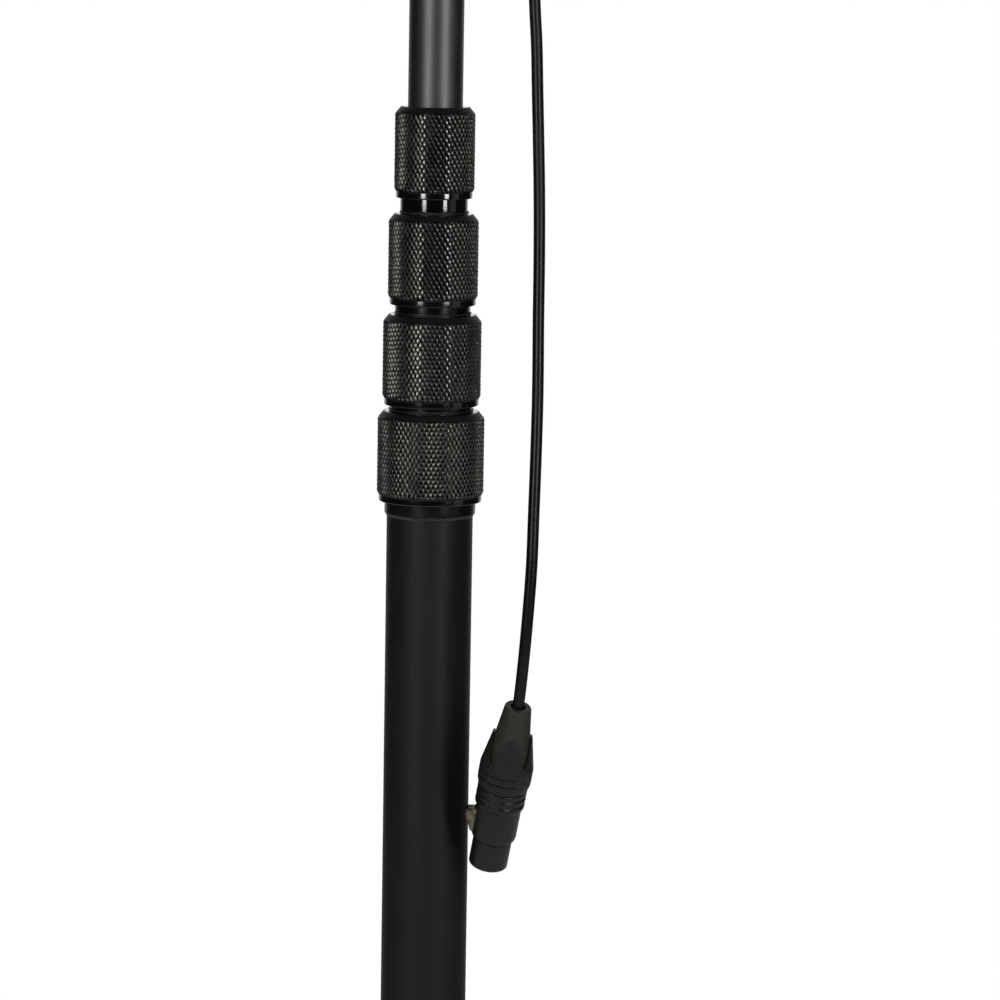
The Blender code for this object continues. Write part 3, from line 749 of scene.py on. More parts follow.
def smooth_points(route, step):
    """Points about a step apart on a centripetal Catmull-Rom curve through the route."""
    points = [Vector(p) for p in route]
    padded = [points[0] * 2 - points[1], *points, points[-1] * 2 - points[-2]]
    found = []
    for i in range(1, len(padded) - 2):
        before, start, end, after = padded[i - 1 : i + 3]
        knots = [0.0]
        for a, b in ((before, start), (start, end), (end, after)):
            knots.append(knots[-1] + (b - a).length ** 0.5)
        count = max(1, round((end - start).length / step))
        for k in range(count):
            t = knots[1] + (knots[2] - knots[1]) * k / count
            found.append(catmull_rom(before, start, end, after, knots, t))
    found.append(points[-1])
    return found


def tube_curve(name, points, radius, resolution=6):
    """A round tube along points, as a curve object."""
    curve = bpy.data.curves.new(name, "CURVE")
    curve.dimensions = "3D"
    curve.bevel_depth = radius
    curve.bevel_resolution = resolution
    curve.use_fill_caps = True
    spline = curve.splines.new("POLY")
    spline.points.add(len(points) - 1)
    for place, point in zip(spline.points, points):
        place.co = (*point, 1)
    spline.use_smooth = True
    tube = bpy.data.objects.new(name, curve)
    bpy.context.scene.collection.objects.link(tube)
    return tube


def make_cable(with_pieces):
    points = smooth_points(CABLE_ROUTE, CABLE_STEP)
    cable = stands_for(tube_curve("lead", points, CABLE_DIAMETER / 2), "free_cable")


# ---------------------------------------------------------------- tubes, ferrules and bumper rings


def tube_node(section):
    return "base_tube" if section == 1 else f"tube_{section}"


def ferrule_node(section):
    return "base_ferrule" if section == 1 else f"ferrule_{section}"


def make_tube(section):
    node = tube_node(section)
    foot, top, radius = extent(node)
    edge = 0.25 * MM
    outline = outlined(
        (radius, top, edge),
        (radius, foot, edge),
        (radius - TUBE_WALL, foot, edge),
        (radius - TUBE_WALL, top, edge),
    )
    tube = lathe(f"{node}_drawn", outline)
    if section == 1:
        carve(tube, *screw_holes("end_cap_screw_1", SIDE_SCREW_ANGLES, 14 * MM, 20 * MM))
    return stands_for(tube, node)


FERRULE_FINISH = {1: "ring_blue", 2: "neck_milky", 3: "neck_dull", 4: "neck_black"}


def make_ferrule(section):
    """A turned sleeve with the shape of its CAD node, its corners broken."""
    node = ferrule_node(section)
    foot, top, radius = extent(node)
    sleeve = extent(tube_node(section))[2] + SPIGOT_PLAY
    guide = extent(tube_node(section + 1))[2] + 0.25 * MM
    step = extent(tube_node(section))[1] + FACE_GAP
    outline = outlined(
        (radius, top, 0.3 * MM),
        (radius, foot, 0.75 * MM if section == 1 else 0.3 * MM),
        (sleeve, foot, 0.02 * MM),
        (sleeve, step),
        (guide, step),
        (guide, top, 0.3 * MM),
    )
    return stands_for(lathe(f"{node}_turned", outline), node, material=FERRULE_FINISH[section])


def make_bumper(section):
    """A soft ring that has crept and puckered a little round the tube."""
    node = f"bumper_ring_{section}"
    foot, top, radius = extent(node)
    inner = extent(tube_node(section))[2] + 0.1 * MM
    wander = random.Random(section)
    phases = [wander.uniform(0, math.tau) for _ in range(3)]

    def pucker(angle, r, z):
        wave = math.sin(5 * angle + phases[0]) + 0.6 * math.sin(13 * angle + phases[1])
        ripple = 0.5 * math.sin(29 * angle + phases[2])
        share = (r - inner) / (radius - inner)
        shrunk = r - share * 0.13 * MM * (2.1 - wave - ripple)
        return shrunk, z + (0.06 * wave + 0.08 * ripple) * share * MM

    outline = outlined(
        (radius, top - 0.05 * MM, 0.3 * MM),
        (radius, middle_height(node), 0.05 * MM),
        (radius - 0.12 * MM, foot + 0.05 * MM, 0.25 * MM),
        (inner, foot + 0.05 * MM),
        (inner, top - 0.05 * MM),
    )
    return stands_for(lathe(f"{node}_soft", outline, shape=pucker), node)


ADHESIVE_SEED = 11
ADHESIVE_SIDES = 256


def make_adhesive():
    """An uneven bead of adhesive squeezed out under the ferrule of the base tube."""
    top, tube = extent("base_ferrule")[0], extent("base_tube")[2]
    wander = random.Random(ADHESIVE_SEED)
    phases = [wander.uniform(0, math.tau) for _ in range(4)]

    def squeezed(angle, r, z):
        slow = math.sin(3 * angle + phases[0]) + math.sin(7 * angle + phases[1])
        quick = math.sin(23 * angle + phases[2]) + math.sin(41 * angle + phases[3])
        share = 0.55 + 0.12 * slow + 0.035 * quick
        return tube + (r - tube) * share, top + (z - top) * (share + 0.15)

    outline = outlined(
        (tube + 0.70 * MM, top - 0.03 * MM),
        (tube + 0.60 * MM, top - 0.5 * MM, 0.3 * MM),
        (tube + 0.05 * MM, top - 1.2 * MM, 0.1 * MM),
        (tube + 0.02 * MM, top - 0.03 * MM),
    )
    bead = lathe("adhesive_bead", outline, ADHESIVE_SIDES, shape=squeezed)
    goes_with(bead, "base_ferrule", "adhesive")


# ---------------------------------------------------------------- knurled collars

COLLAR_H = 36.8 * MM
TOP_CHAMFER = (2.4 * MM, 2.9 * MM)  # across and along
BAND_DROP = 0.75 * MM
BAND_H = 2.6 * MM
KNURL_FOOT = 3.9 * MM
KNURL_PITCH = 2.05 * MM
KNURL_RISE = 3.4 * MM
KNURL_DEPTH = 0.70 * MM
# How deep a ridge dips between two crests, along the strong diagonals and along the weak ones
SADDLE_DEPTH = 0.30 * MM
CROSS_SADDLE = {1: 0.34 * MM, 2: 0.50 * MM, 3: 0.62 * MM, 4: 0.62 * MM}
# A crest's half diagonals, in steps of the knurl's grid
FLAT_LONG = 0.36
FLAT_SHORT = 0.24
TOOTH_WEAR = 0.05 * MM
TOOTH_TURN = 0.12
FLANK_SLOT, TURNED_SLOT, CHAMFER_SLOT = 0, 1, 2


def knurl_limits():
    """Heights of the knurl's ends, where both chamfers reach the bottom of its grooves."""
    top = COLLAR_H - TOP_CHAMFER[1] + KNURL_DEPTH * TOP_CHAMFER[1] / TOP_CHAMFER[0]
    foot = KNURL_FOOT - KNURL_DEPTH * (KNURL_FOOT - BAND_H) / BAND_DROP
    return foot, top


def chamfered(radius, outer, height):
    """A radius cut back to the collar's two chamfers at a height."""
    top = outer - (height - COLLAR_H + TOP_CHAMFER[1]) * TOP_CHAMFER[0] / TOP_CHAMFER[1]
    foot = outer - (KNURL_FOOT - height) * BAND_DROP / (KNURL_FOOT - BAND_H)
    return min(radius, top, foot)


def knurled(name, outer, rings, section):
    """A collar: pyramids with flat crests on diagonal ridges, closed by rings of (radius, height).

    The rings run from the knurl's top over the collar's top, down its bore and up to the knurl's foot.
    """
    wear = random.Random(section)
    foot, top = knurl_limits()
    columns = 2 * round(math.tau * outer / KNURL_PITCH)
    rows = 2 * round((top - foot) / KNURL_RISE)
    turn, rise = math.tau / columns, (top - foot) / rows
    points, faces = [], []

    def put(column, row, radius):
        angle, height = column * turn, foot + row * rise
        r = chamfered(radius, outer, height)
        points.append((r * math.cos(angle), r * math.sin(angle), height))
        return len(points) - 1

    grid = {}
    for row in range(rows + 1):
        edge = row in (0, rows)
        for column in range(columns):
            if (column + row) % 2:
                grid[column, row] = put(column, row, outer - KNURL_DEPTH)
                continue
            crest = outer - TOOTH_WEAR * wear.random() ** 2
            tilt = TOOTH_WEAR * wear.uniform(-TOOTH_TURN, TOOTH_TURN)
            across = (FLAT_LONG + FLAT_SHORT) / 2 * wear.uniform(0.85, 1.1)
            skew = 0 if edge else (FLAT_LONG - FLAT_SHORT) / 2 * wear.uniform(0.6, 1.1)
            grid[column, row] = {
                "e": put(column + across, row - skew, crest + tilt),
                "w": put(column - across, row + skew, crest - tilt),
                "n": None if row == rows else put(column - skew, row + across, crest - tilt),
                "s": None if row == 0 else put(column + skew, row - across, crest + tilt),
            }

    def at(column, row):
        return grid[column % columns, row]

    for row in range(rows):
        for column in range(columns):
            here, right = at(column, row), at(column + 1, row)
            above, corner = at(column, row + 1), at(column + 1, row + 1)
            if isinstance(here, dict):
                saddle = put(column + 0.5, row + 0.5, outer - CROSS_SADDLE[section])
                loop = (here["n"], here["e"], right, corner["s"], corner["w"], above)
            else:
                saddle = put(column + 0.5, row + 0.5, outer - SADDLE_DEPTH)
                loop = (here, right["w"], right["n"], corner, above["e"], above["s"])
            for first, second in zip(loop, loop[1:] + loop[:1]):
                faces.append((first, second, saddle))
    for flat in (tooth for tooth in grid.values() if isinstance(tooth, dict)):
        faces.append([flat[side] for side in "enws" if flat[side] is not None])

    def rim(row):
        found = []
        for column in range(columns):
            place = at(column, row)
            found += [place["w"], place["e"]] if isinstance(place, dict) else [place]
        return found

    above, last = rim(rows), rim(0)
    angles = [math.atan2(points[i][1], points[i][0]) for i in above]
    for radius, height in rings:
        ring = []
        for angle in angles:
            points.append((radius * math.cos(angle), radius * math.sin(angle), height))
            ring.append(len(points) - 1)
        bridge(faces, above, ring)
        above = ring
    bridge(faces, above, last)
    return mesh_piece(name, points, faces, crease=KNURL_CREASE)


def bridge(faces, first, second):
    """Joins two rings of as many points with four-sided faces."""
    for i in range(len(first)):
        j = (i + 1) % len(first)
        faces.append((first[i], first[j], second[j], second[i]))


def make_collar(section):
    node = f"collar_{section}"
    foot, _, outer = extent(node)
    inner_tube = extent(tube_node(section + 1))[2]
    bore = extent(ferrule_node(section))[2] + 0.25 * MM
    cone_foot, cone_top = 22.3 * MM, 32.8 * MM
    knurl_foot, knurl_top = knurl_limits()
    shoulder = outer - TOP_CHAMFER[0]
    band = outer - BAND_DROP
    corners = outlined(
        (outer - KNURL_DEPTH, knurl_foot),
        (outer - KNURL_DEPTH, knurl_top),
        (shoulder, COLLAR_H, 0.35 * MM),
        (inner_tube + 0.3 * MM, COLLAR_H, 0.15 * MM),
        (inner_tube + 0.3 * MM, cone_top),
        (inner_tube + 1.55 * MM, cone_top),
        (bore, cone_foot),
        (bore, 0, 0.3 * MM),
        (band, 0, 0.5 * MM),
        (band, BAND_H, 0.12 * MM),
    )
    collar = knurled(f"{node}_knurled", outer, corners[2:], section)
    # Each point's depth in the groove, which the flank material reads to paint shade, partly dirt,
    # into the grooves.
    depths = collar.data.attributes.new("depth", "FLOAT", "POINT")
    for point, depth in zip(collar.data.vertices, depths.data):
        depth.value = (outer - math.hypot(point.co.x, point.co.y)) / KNURL_DEPTH
    stands_for(collar, node)
    collar.data.materials.append(MATERIALS["turned_black"])
    # The chamfers get a darker copy of the black, as painted shade.
    collar.data.materials.append(MATERIALS["chamfer_shaded_black"])
    for face in collar.data.polygons:
        reach = math.hypot(face.center.x, face.center.y)
        in_knurl = knurl_foot < face.center.z < knurl_top and reach > outer - 1.2 * KNURL_DEPTH
        is_flank = in_knurl and reach < outer - 1.5 * TOOTH_WEAR
        is_chamfer = face.center.z > knurl_top and reach > shoulder - 0.3 * MM
        face.material_index = FLANK_SLOT if is_flank else CHAMFER_SLOT if is_chamfer else TURNED_SLOT
    collar.data.transform(Matrix.Translation((0, 0, foot)))


# ---------------------------------------------------------------- coiled cable inside

COIL_WIRE_R = 1.9 * MM
COIL_PITCH = 4.3 * MM
COIL_STEPS = 14


def make_coil(number):
    """One length of the coiled cable, which stretches between two sections."""
    node = f"coil_{number}"
    foot, top, radius = extent(node)
    low, high = foot + COIL_WIRE_R, top - COIL_WIRE_R
    turns = (high - low) / COIL_PITCH
    count = round(turns * COIL_STEPS)
    points, reach = [], radius - COIL_WIRE_R
    for i in range(count + 1):
        angle = math.tau * turns * i / count
        height = low + (high - low) * i / count
        points.append((reach * math.cos(angle), reach * math.sin(angle), height))
    curve = tube_curve("coil_line", points, COIL_WIRE_R, resolution=2)
    bpy.context.view_layer.update()
    graph = bpy.context.evaluated_depsgraph_get()
    mesh = bpy.data.meshes.new_from_object(curve.evaluated_get(graph))
    mesh.name = f"{node}_wound"
    bpy.data.objects.remove(curve)
    coil = bpy.data.objects.new(f"{node}_wound", mesh)
    bpy.context.scene.collection.objects.link(coil)
    mesh.shade_smooth()
    mesh.materials.clear()
    mesh.materials.append(MATERIALS["cable_jacket"])
    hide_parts(node)
    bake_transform(coil)


# ---------------------------------------------------------------- foot


def make_end_cap():
    """The turned cap that closes the base tube, with a coin groove round its flange."""
    foot, top, radius = extent("base_end_cap")
    spigot = extent("base_tube")[2] - TUBE_WALL - SPIGOT_PLAY
    bore = extent("output_insert")[2] + 0.1 * MM
    flange, groove = extent("base_tube")[0] - FACE_GAP, 0.6 * MM
    groove_top = flange - 2.5 * MM
    outline = outlined(
        (spigot, top, 0.5 * MM),
        (spigot, flange),
        (radius, flange, 0.4 * MM),
        (radius, groove_top, 0.1 * MM),
        (radius - groove, groove_top - groove, 0.1 * MM),
        (radius, groove_top - 2 * groove, 0.1 * MM),
        (radius, foot + 1.0 * MM, 0.4 * MM),
        (radius - 1.0 * MM, foot, 0.3 * MM),
        (bore, foot, 0.3 * MM),
        (bore, top, 0.5 * MM),
    )
    cap = lathe("base_end_cap_turned", outline)
    carve(cap, *screw_holes("end_cap_screw_1", SIDE_SCREW_ANGLES, 8 * MM, 17 * MM))
    stands_for(cap, "base_end_cap")


DRAINS = 12
FOOT_RING_SIDES = 192


def make_foot_ring():
    """A rubber ring with drainage grooves across its lower face."""
    foot, top, radius = extent("base_foot_ring")
    inner = 10.0 * MM

    def drained(angle, r, z):
        share = max(0.0, math.cos(DRAINS * angle)) ** 6
        low = max(0.0, 1 - (z - foot) / (0.8 * MM))
        return r, z + 0.35 * MM * share * low

    outline = outlined(
        (radius - 0.3 * MM, top, 0.1 * MM),
        (radius, top - 0.8 * MM, 0.4 * MM),
        (radius - 0.6 * MM, foot + 0.4 * MM, 0.4 * MM),
        (radius - 1.4 * MM, foot, 0.3 * MM),
        (inner + 0.7 * MM, foot, 0.3 * MM),
        (inner, foot + 0.7 * MM, 0.3 * MM),
        (inner, top, 0.1 * MM),
    )
    ring = lathe("base_foot_ring_moulded", outline, FOOT_RING_SIDES, shape=drained)
    stands_for(ring, "base_foot_ring")


PIN_R = 1.15 * MM
PIN_HOLE_R = 1.3 * MM


def make_output():
    """The insert of the socket in the foot, and its three pins."""
    foot, top, radius = extent("output_insert")
    recess, floor = 7.85 * MM, 14.5 * MM
    outline = outlined(
        (0, top),
        (radius, top, 0.3 * MM),
        (radius, foot, 0.2 * MM),
        (recess + 0.4 * MM, foot, 0.1 * MM),
        (recess, foot + 0.7 * MM, 0.3 * MM),
        (recess, floor, 0.4 * MM),
        (0, floor),
    )
    insert = lathe("output_insert_moulded", outline, 96)
    pins = []
    for number in (1, 2, 3):
        low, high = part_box(f"output_pin_{number}")
        middle = Matrix.Translation(((low.x + high.x) / 2, (low.y + high.y) / 2, 0))
        pins.append((middle, low.z, high.z))
    holes = [
        plain_rod(f"hole_{i}", PIN_HOLE_R, floor - MM, top + MM, middle)
        for i, (middle, _, _) in enumerate(pins)
    ]
    carve(insert, *holes)
    stands_for(insert, "output_insert")
    for number, (middle, low, high) in enumerate(pins, 1):
        outline = outlined(
            (0, high),
            (PIN_R, high, 0.1 * MM),
            (PIN_R, low + 1.0 * MM, 0.6 * MM),
            (0.55 * PIN_R, low, 0.2 * MM),
            (0, low),
        )
        pin = lathe(f"output_pin_{number}_turned", outline, SMALL_SIDES)
        stands_for(placed(pin, middle), f"output_pin_{number}")


HEX_SOCKET_R = 0.87 * MM
HEX_SOCKET_DEPTH = 1.6 * MM


def make_set_screw(node, angle):
    """A headless screw along a radius, with a hexagon socket and a turned outer edge."""
    low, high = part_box(node)
    height, radius = (low.z + high.z) / 2, (high.z - low.z) / 2
    corners = [Vector((x, y)) for x in (low.x, high.x) for y in (low.y, high.y)]
    out = Vector((math.cos(math.radians(angle)), math.sin(math.radians(angle))))
    middle = Vector(((low.x + high.x) / 2, (low.y + high.y) / 2)).dot(out)
    half = (max(c.dot(out) for c in corners) - min(c.dot(out) for c in corners)) / 2
    spread = radius * abs(out.x * out.y) * 2
    inner, outer = middle - half + spread, middle + half - spread
    outline = outlined(
        (0, outer),
        (radius, outer, 0.25 * MM),
        (radius, inner, 0.4 * MM),
        (0, inner),
    )
    screw = placed(lathe(f"{node}_turned", outline, SMALL_SIDES), radial(angle, height))
    foot, top = outer - HEX_SOCKET_DEPTH, outer + MM
    socket = plain_rod(f"{node}_socket", HEX_SOCKET_R, foot, top, radial(angle, height), sides=6)
    stands_for(carve(screw, socket), node)


# ---------------------------------------------------------------- tip

EXIT_ANGLE = -40
EXIT_FLAT = 10.0 * MM
STUD_PITCH = 25.4 / 16 * MM
STUD_CREST_R = 4.76 * MM
STUD_SIDES = 64
THREAD_DEPTH = 0.55 * STUD_PITCH
TIP_SCREW_ANGLES = (50, 140)


def make_tip_housing():
    foot, top, _ = extent("tip_housing")
    radius = 11.2 * MM
    spigot = extent("tube_5")[2] - TUBE_WALL - SPIGOT_PLAY
    shoulder = extent("tube_5")[1] + FACE_GAP
    bore, bore_top = 7.0 * MM, 769.5 * MM
    hole, hole_floor, relief = 4.2 * MM, 772.7 * MM, 5.2 * MM
    outline = outlined(
        (0, hole_floor),
        (hole, hole_floor),
        (hole, top - 0.9 * MM),
        (relief, top - 0.9 * MM),
        (relief, top, 0.15 * MM),
        (radius, top, 0.8 * MM),
        (radius, shoulder, 0.5 * MM),
        (spigot, shoulder),
        (spigot, foot, 0.4 * MM),
        (bore, foot, 0.3 * MM),
        (bore, bore_top),
        (0, bore_top),
    )
    housing = lathe("tip_housing_turned", outline)
    height = middle_height("cable_grommet")
    flat = plain_rod("flat", 11.0 * MM, EXIT_FLAT, radius + MM, radial(EXIT_ANGLE, height), 4)
    hole_out = plain_rod("exit_hole", 3.4 * MM, 4 * MM, radius + MM, radial(EXIT_ANGLE, height))
    holes = screw_holes("tip_set_screw_1", TIP_SCREW_ANGLES, hole - MM, radius + MM)
    stands_for(carve(housing, flat, hole_out, *holes), "tip_housing")


def make_stud():
    """The stud, with a real thread: a flat-crested helix between two chamfered ends."""
    foot, top, _ = extent("mic_stud")
    crest, root = STUD_CREST_R, STUD_CREST_R - THREAD_DEPTH
    thread_foot = extent("tip_housing")[1] + 0.2 * MM
    steps = STUD_SIDES
    turns = math.ceil((top - thread_foot) / STUD_PITCH) + 1
    profile = ((root, 0.0), (crest, 0.38), (crest, 0.5), (root, 0.88))
    points, columns = [], []
    for side in range(steps):
        angle = math.tau * side / steps
        column = []
        for turn in range(-1, turns):
            for radius, share in profile:
                z = thread_foot + (turn + share + side / steps) * STUD_PITCH
                z = min(max(z, thread_foot), top)
                cone = min(crest, root + 0.1 * MM + (top - z))
                r = min(radius, cone)
                if z <= thread_foot or z >= top:
                    r = min(root, r)
                column.append(len(points))
                points.append((r * math.cos(angle), r * math.sin(angle), z))
        columns.append(column)
    faces = []
    for side in range(steps - 1):
        here, there = columns[side], columns[side + 1]
        for i in range(len(here) - 1):
            faces.append((here[i], here[i + 1], there[i + 1], there[i]))
    here, there = columns[-1], columns[0]
    shift = len(profile)
    for i in range(len(here) - 1):
        a, b = min(i + shift, len(there) - 1), min(i + 1 + shift, len(there) - 1)
        faces.append((here[i], here[i + 1], there[b], there[a]))
    for height, row in ((thread_foot, 0), (top, -1)):
        ring = [column[row] for column in columns]
        if height == thread_foot:
            ring_foot = []
            for side in range(steps):
                angle = math.tau * side / steps
                ring_foot.append(len(points))
                points.append((root * math.cos(angle), root * math.sin(angle), foot))
            bridge(faces, ring, ring_foot)
            ring = ring_foot
        faces.append(ring)
    stands_for(mesh_piece("mic_stud_threaded", points, faces), "mic_stud")


def make_grommet():
    """The strain relief in the tip: a flange, and a tapered sleeve with ribs."""
    end = 20.5 * MM
    barrel, flange, hole = 3.2 * MM, 4.8 * MM, 2.36 * MM
    face = EXIT_FLAT + FACE_GAP
    corners = [(hole, end, 0.1 * MM), (3.0 * MM, end, 0.3 * MM)]
    ribs = 5
    for rib in range(ribs):
        z = 19.6 * MM - rib * 1.55 * MM
        r = 3.1 * MM + 0.13 * MM * rib
        corners += [(r + 0.12 * MM, z, 0.2 * MM), (r + 0.2 * MM, z - 0.9 * MM, 0.2 * MM)]
        corners += [(r - 0.15 * MM, z - 1.0 * MM, 0.1 * MM), (r - 0.12 * MM, z - 1.45 * MM, 0.1 * MM)]
    corners += [
        (4.1 * MM, 11.75 * MM, 0.1 * MM),
        (flange, 11.6 * MM, 0.4 * MM),
        (flange, face, 0.3 * MM),
        (barrel, face),
        (barrel, 7.4 * MM, 0.3 * MM),
        (hole, 7.4 * MM),
    ]
    grommet = lathe("cable_grommet_ribbed", outlined(*corners), 64)
    stands_for(placed(grommet, radial(EXIT_ANGLE, middle_height("cable_grommet"))), "cable_grommet")
    return grommet


def make_tip():
    make_tip_housing()
    make_stud()
    for number, angle in enumerate(TIP_SCREW_ANGLES, 1):
        make_set_screw(f"tip_set_screw_{number}", angle)


# ---------------------------------------------------------------- plug

INSERT_BEHIND_NOSE = 0.6 * MM
SHELL_R = 9.25 * MM
NOSE_R = 7.95 * MM
NOSE_LENGTH = 12.9 * MM
SHELL_BORE_R = 6.95 * MM
SHELL_END = 37.6 * MM
RING_R = 10.15 * MM
RING_VALLEY_R = 9.65 * MM
RING_FEET = (35.4 * MM, 32.3 * MM, 29.2 * MM)
RING_WIDTH = 1.9 * MM
LATCH_WIDTH = 4.4 * MM
LATCH_WINDOW = (14.2 * MM, 27.2 * MM)
PLUG_SIDES = 144
PAD_ARC = (62, 84)


def plug_frame():
    """The plug's own frame: origin at its nose, +Z along it to the boot, +X to the latch."""
    mount = next(m for m in RECORD["mounts"] if m["name"] == "plug_face")
    along = -Vector(mount["axis"]).normalized()
    to_latch = Vector((-1, 0, 0))
    to_latch = (to_latch - along * to_latch.dot(along)).normalized()
    turn = Matrix((to_latch, along.cross(to_latch), along)).transposed().to_4x4()
    nose = Vector(mount["pos_m"]) - along * INSERT_BEHIND_NOSE
    return Matrix.Translation(nose) @ turn


def within(angle, start, end):
    """Whether an angle in radians lies on an arc between two angles in degrees."""
    return (math.degrees(angle) - start) % 360 <= end - start


def make_plug_shell(frame_of_plug):
    corners = [(RING_VALLEY_R, SHELL_END, 0.1 * MM)]
    for foot in RING_FEET:
        corners += [
            (RING_R, foot + RING_WIDTH, 0.35 * MM),
            (RING_R, foot, 0.35 * MM),
            (RING_VALLEY_R, foot - 0.35 * MM, 0.15 * MM),
        ]
    corners += [
        (SHELL_R, 28.0 * MM, 0.4 * MM),
        (SHELL_R, 14.9 * MM, 0.6 * MM),
        (8.85 * MM, 13.4 * MM, 0.3 * MM),
        (8.3 * MM, NOSE_LENGTH + 0.1 * MM, 0.15 * MM),
        (NOSE_R - 0.35 * MM, NOSE_LENGTH, 0.05 * MM),
        (NOSE_R - 0.35 * MM, NOSE_LENGTH - 0.3 * MM, 0.05 * MM),
        (NOSE_R, NOSE_LENGTH - 0.5 * MM, 0.15 * MM),
        (NOSE_R, 0, 0.4 * MM),
        (SHELL_BORE_R, 0, 0.3 * MM),
        (SHELL_BORE_R, 30.0 * MM),
        (8.6 * MM, 30.0 * MM),
        (8.6 * MM, SHELL_END),
    ]

    def padded(angle, r, z):
        """A raised pad that runs across the rings."""
        over_rings = RING_FEET[-1] < z < RING_FEET[0] + RING_WIDTH and r > SHELL_R
        return (RING_R if over_rings and within(angle, *PAD_ARC) else r), z

    shell = lathe("plug_shell_cast", outlined(*corners), PLUG_SIDES, shape=padded)
    half = LATCH_WIDTH / 2 + 0.3 * MM
    window_foot, window_top = LATCH_WINDOW
    window = plain_box("window", (5 * MM, -half, window_foot), (12 * MM, half, window_top))
    carve(shell, window)
    return stands_for(placed(shell, frame_of_plug), "plug_shell")


PETALS = 4
PETAL_TIP = 62.2 * MM
PETAL_NOTCH = 50.5 * MM
PETAL_TURN = 43
NOTCH_WIDTH = 8.8 * MM
NOTCH_POWER = 2.0
NOTCH_STEPS = 20
BAND_R = 10.95 * MM
BAND_FOOT = 37.9 * MM
BOOT_FOOT = 48.9 * MM
BOOT_FOOT_R = 8.9 * MM
LONG_GROOVES = (46.0 * MM, 42.5 * MM)
LONG_ARCS = ((-60, 114), (146, 282))
SHORT_GROOVE = 44.2 * MM
SHORT_ARC = (95, 140)
GROOVE_HALF = 0.34 * MM
PLUG_LENGTH = 74.8 * MM


def petal_notch(index):
    """A U-shaped cutter for the gap between two petals."""
    rise, half, steps = PETAL_TIP - PETAL_NOTCH + MM, NOTCH_WIDTH / 2, NOTCH_STEPS
    outline = []
    for step in range(steps + 1):
        side = 2 * step / steps - 1
        outline.append((half * side, PETAL_NOTCH + rise * abs(side) ** NOTCH_POWER))
    points = [(x, y, z) for x in (6 * MM, 13 * MM) for y, z in outline]
    count = len(outline)
    faces = [list(range(count)), list(range(2 * count - 1, count - 1, -1))]
    for i in range(count):
        j = (i + 1) % count
        faces.append((j, i, count + i, count + j))
    cutter = mesh_piece(f"notch_{index}", points, faces)
    return placed(cutter, Matrix.Rotation(math.radians(PETAL_TURN + index * 360 / PETALS), 4, "Z"))


def grooved(height):
    """The outline's corners at a groove of the band, before it is cut in."""
    steps = (GROOVE_HALF, 0.45 * GROOVE_HALF, -0.45 * GROOVE_HALF, -GROOVE_HALF)
    return [(BAND_R - 0.02 * MM, height + step) for step in steps]


def make_plug_bushing(frame_of_plug):
    outline = outlined(
        (7.75 * MM, PETAL_TIP, 0.15 * MM),
        (8.15 * MM, PETAL_TIP - 0.5 * MM, 0.3 * MM),
        (10.3 * MM, PETAL_NOTCH, 1.5 * MM),
        (10.75 * MM, 48.3 * MM, 0.8 * MM),
        (BAND_R, 47.0 * MM, 0.4 * MM),
        *grooved(LONG_GROOVES[0]),
        *grooved(SHORT_GROOVE),
        *grooved(LONG_GROOVES[1]),
        (BAND_R - 0.1 * MM, 40.2 * MM, 0.4 * MM),
        (10.2 * MM, BAND_FOOT, 0.3 * MM),
        (8.45 * MM, BAND_FOOT),
        (8.45 * MM, 30.4 * MM, 0.2 * MM),
        (7.4 * MM, 30.4 * MM),
        (7.4 * MM, BOOT_FOOT - FACE_GAP),
        (9.2 * MM, BOOT_FOOT - FACE_GAP),
        (7.13 * MM, PETAL_TIP, 0.1 * MM),
    )

    def cut_in_arcs(angle, r, z):
        """Grooves that run only part of the way round the band."""
        for height in LONG_GROOVES:
            if r > BOOT_FOOT_R and abs(z - height) < GROOVE_HALF / 2:
                return r - (0.55 * MM if any(within(angle, *arc) for arc in LONG_ARCS) else 0), z
        if r > BOOT_FOOT_R and abs(z - SHORT_GROOVE) < GROOVE_HALF / 2:
            return r - (0.25 * MM if within(angle, *SHORT_ARC) else 0), z
        return r, z

    bushing = lathe("plug_bushing_moulded", outline, PLUG_SIDES, shape=cut_in_arcs)
    carve(bushing, *(petal_notch(index) for index in range(PETALS)))
    return stands_for(placed(bushing, frame_of_plug), "plug_bushing")


def make_plug_boot(frame_of_plug):
    end, bore = 5.4 * MM, 2.75 * MM
    outline = outlined(
        (end, PLUG_LENGTH, 0.7 * MM),
        (7.05 * MM, PETAL_TIP, 0.5 * MM),
        (BOOT_FOOT_R - 0.35 * MM, BOOT_FOOT),
        (bore, BOOT_FOOT),
        (bore, PLUG_LENGTH - 1.6 * MM, 0.4 * MM),
        (bore + 0.3 * MM, PLUG_LENGTH, 0.15 * MM),
    )
    return stands_for(placed(lathe("plug_boot_moulded", outline, 96), frame_of_plug), "plug_boot")


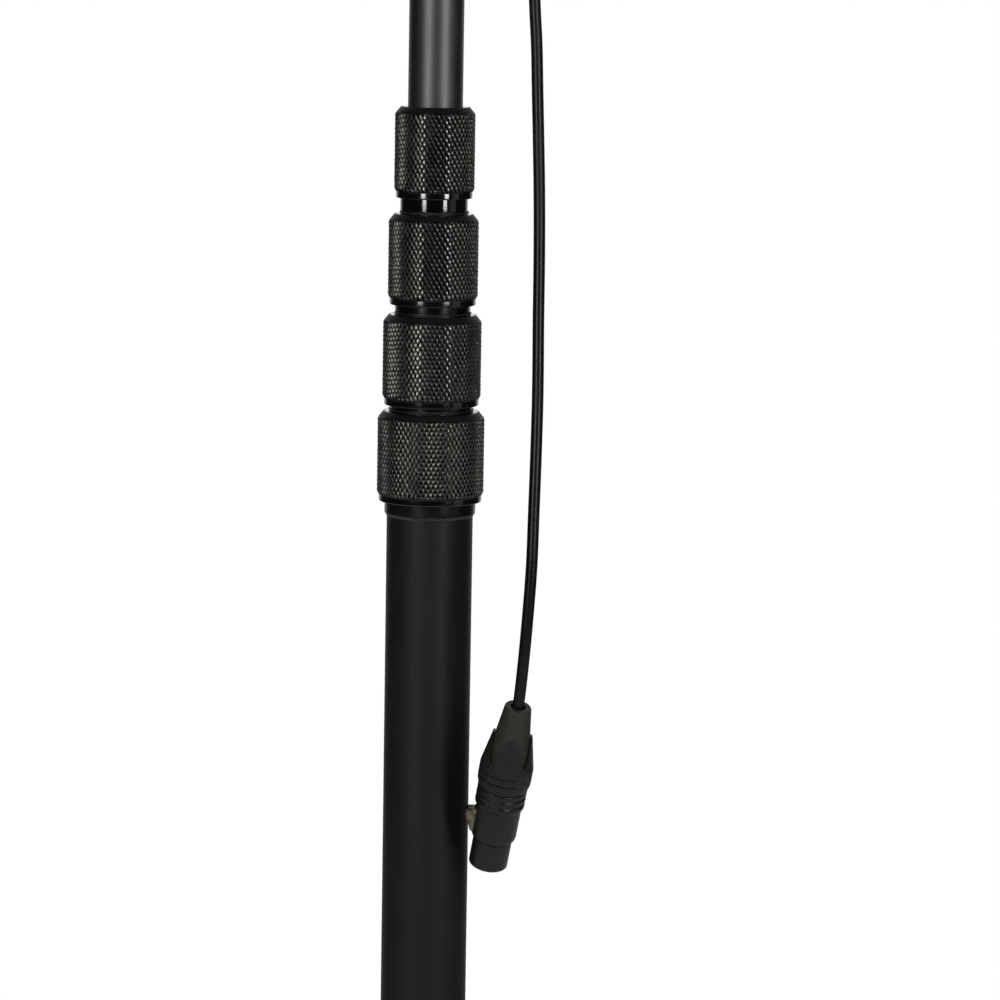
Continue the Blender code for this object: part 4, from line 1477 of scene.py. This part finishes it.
def make_plug_latch(frame_of_plug):
    """The push tab, cast with rounded edges: a solid of its outline, bevelled."""
    foot_x, middle = 6.6 * MM, 20.0 * MM
    outline = outlined(
        (0, -5.4 * MM),
        (2.5 * MM, -5.4 * MM, 0.3 * MM),
        (3.6 * MM, -4.6 * MM, 0.4 * MM),
        (5.9 * MM, 1.6 * MM, 0.8 * MM),
        (6.5 * MM, 3.4 * MM, 0.6 * MM),
        (6.0 * MM, 4.6 * MM, 0.5 * MM),
        (2.6 * MM, 5.2 * MM, 0.4 * MM),
        (2.3 * MM, 6.8 * MM, 0.2 * MM),
        (0, 6.8 * MM),
    )
    half = LATCH_WIDTH / 2
    count = len(outline)
    points = [(foot_x + x, y, middle + z) for y in (-half, half) for x, z in outline]
    faces = [list(range(count)), list(range(2 * count - 1, count - 1, -1))]
    for i in range(count):
        j = (i + 1) % count
        faces.append((j, i, count + i, count + j))
    latch = mesh_piece("plug_latch_cast", points, faces)
    bevel = latch.modifiers.new("Edges", "BEVEL")
    bevel.width = 0.35 * MM
    bevel.segments = 3
    bevel.limit_method = "ANGLE"
    bevel.angle_limit = math.radians(60)
    latch.data.set_sharp_from_angle(angle=math.radians(60))
    return stands_for(placed(latch, frame_of_plug), "plug_latch")


def make_plug():
    frame_of_plug = plug_frame()
    return [
        make_plug_shell(frame_of_plug),
        make_plug_bushing(frame_of_plug),
        make_plug_boot(frame_of_plug),
        make_plug_latch(frame_of_plug),
    ]


# ---------------------------------------------------------------- assembly


def dress_carried_nodes():
    """The CAD nodes that still show get their slot's material."""
    for name, node in frame["nodes"].items():
        if node.hide_render:
            continue
        node.data.materials.clear()
        node.data.materials.append(MATERIALS[SLOT_OF[name]])


INSIDE_PLUG = (
    "plug_insert",
    "plug_contact_1",
    "plug_contact_2",
    "plug_contact_3",
    "plug_chuck",
    "plug_latch_spring",
)

make_stage()
for section in range(1, SECTIONS + 1):
    make_tube(section)
for section in COLLARS:
    make_ferrule(section)
    make_collar(section)
    make_coil(section)
for section in COLLARS[1:]:
    make_bumper(section)
make_adhesive()
make_end_cap()
make_foot_ring()
make_output()
for number, angle in enumerate(SIDE_SCREW_ANGLES, 1):
    make_set_screw(f"end_cap_screw_{number}", angle)
make_tip()
relief = make_grommet()
make_cable([relief, *make_plug(), *(frame["nodes"][name] for name in INSIDE_PLUG)])
dress_carried_nodes()
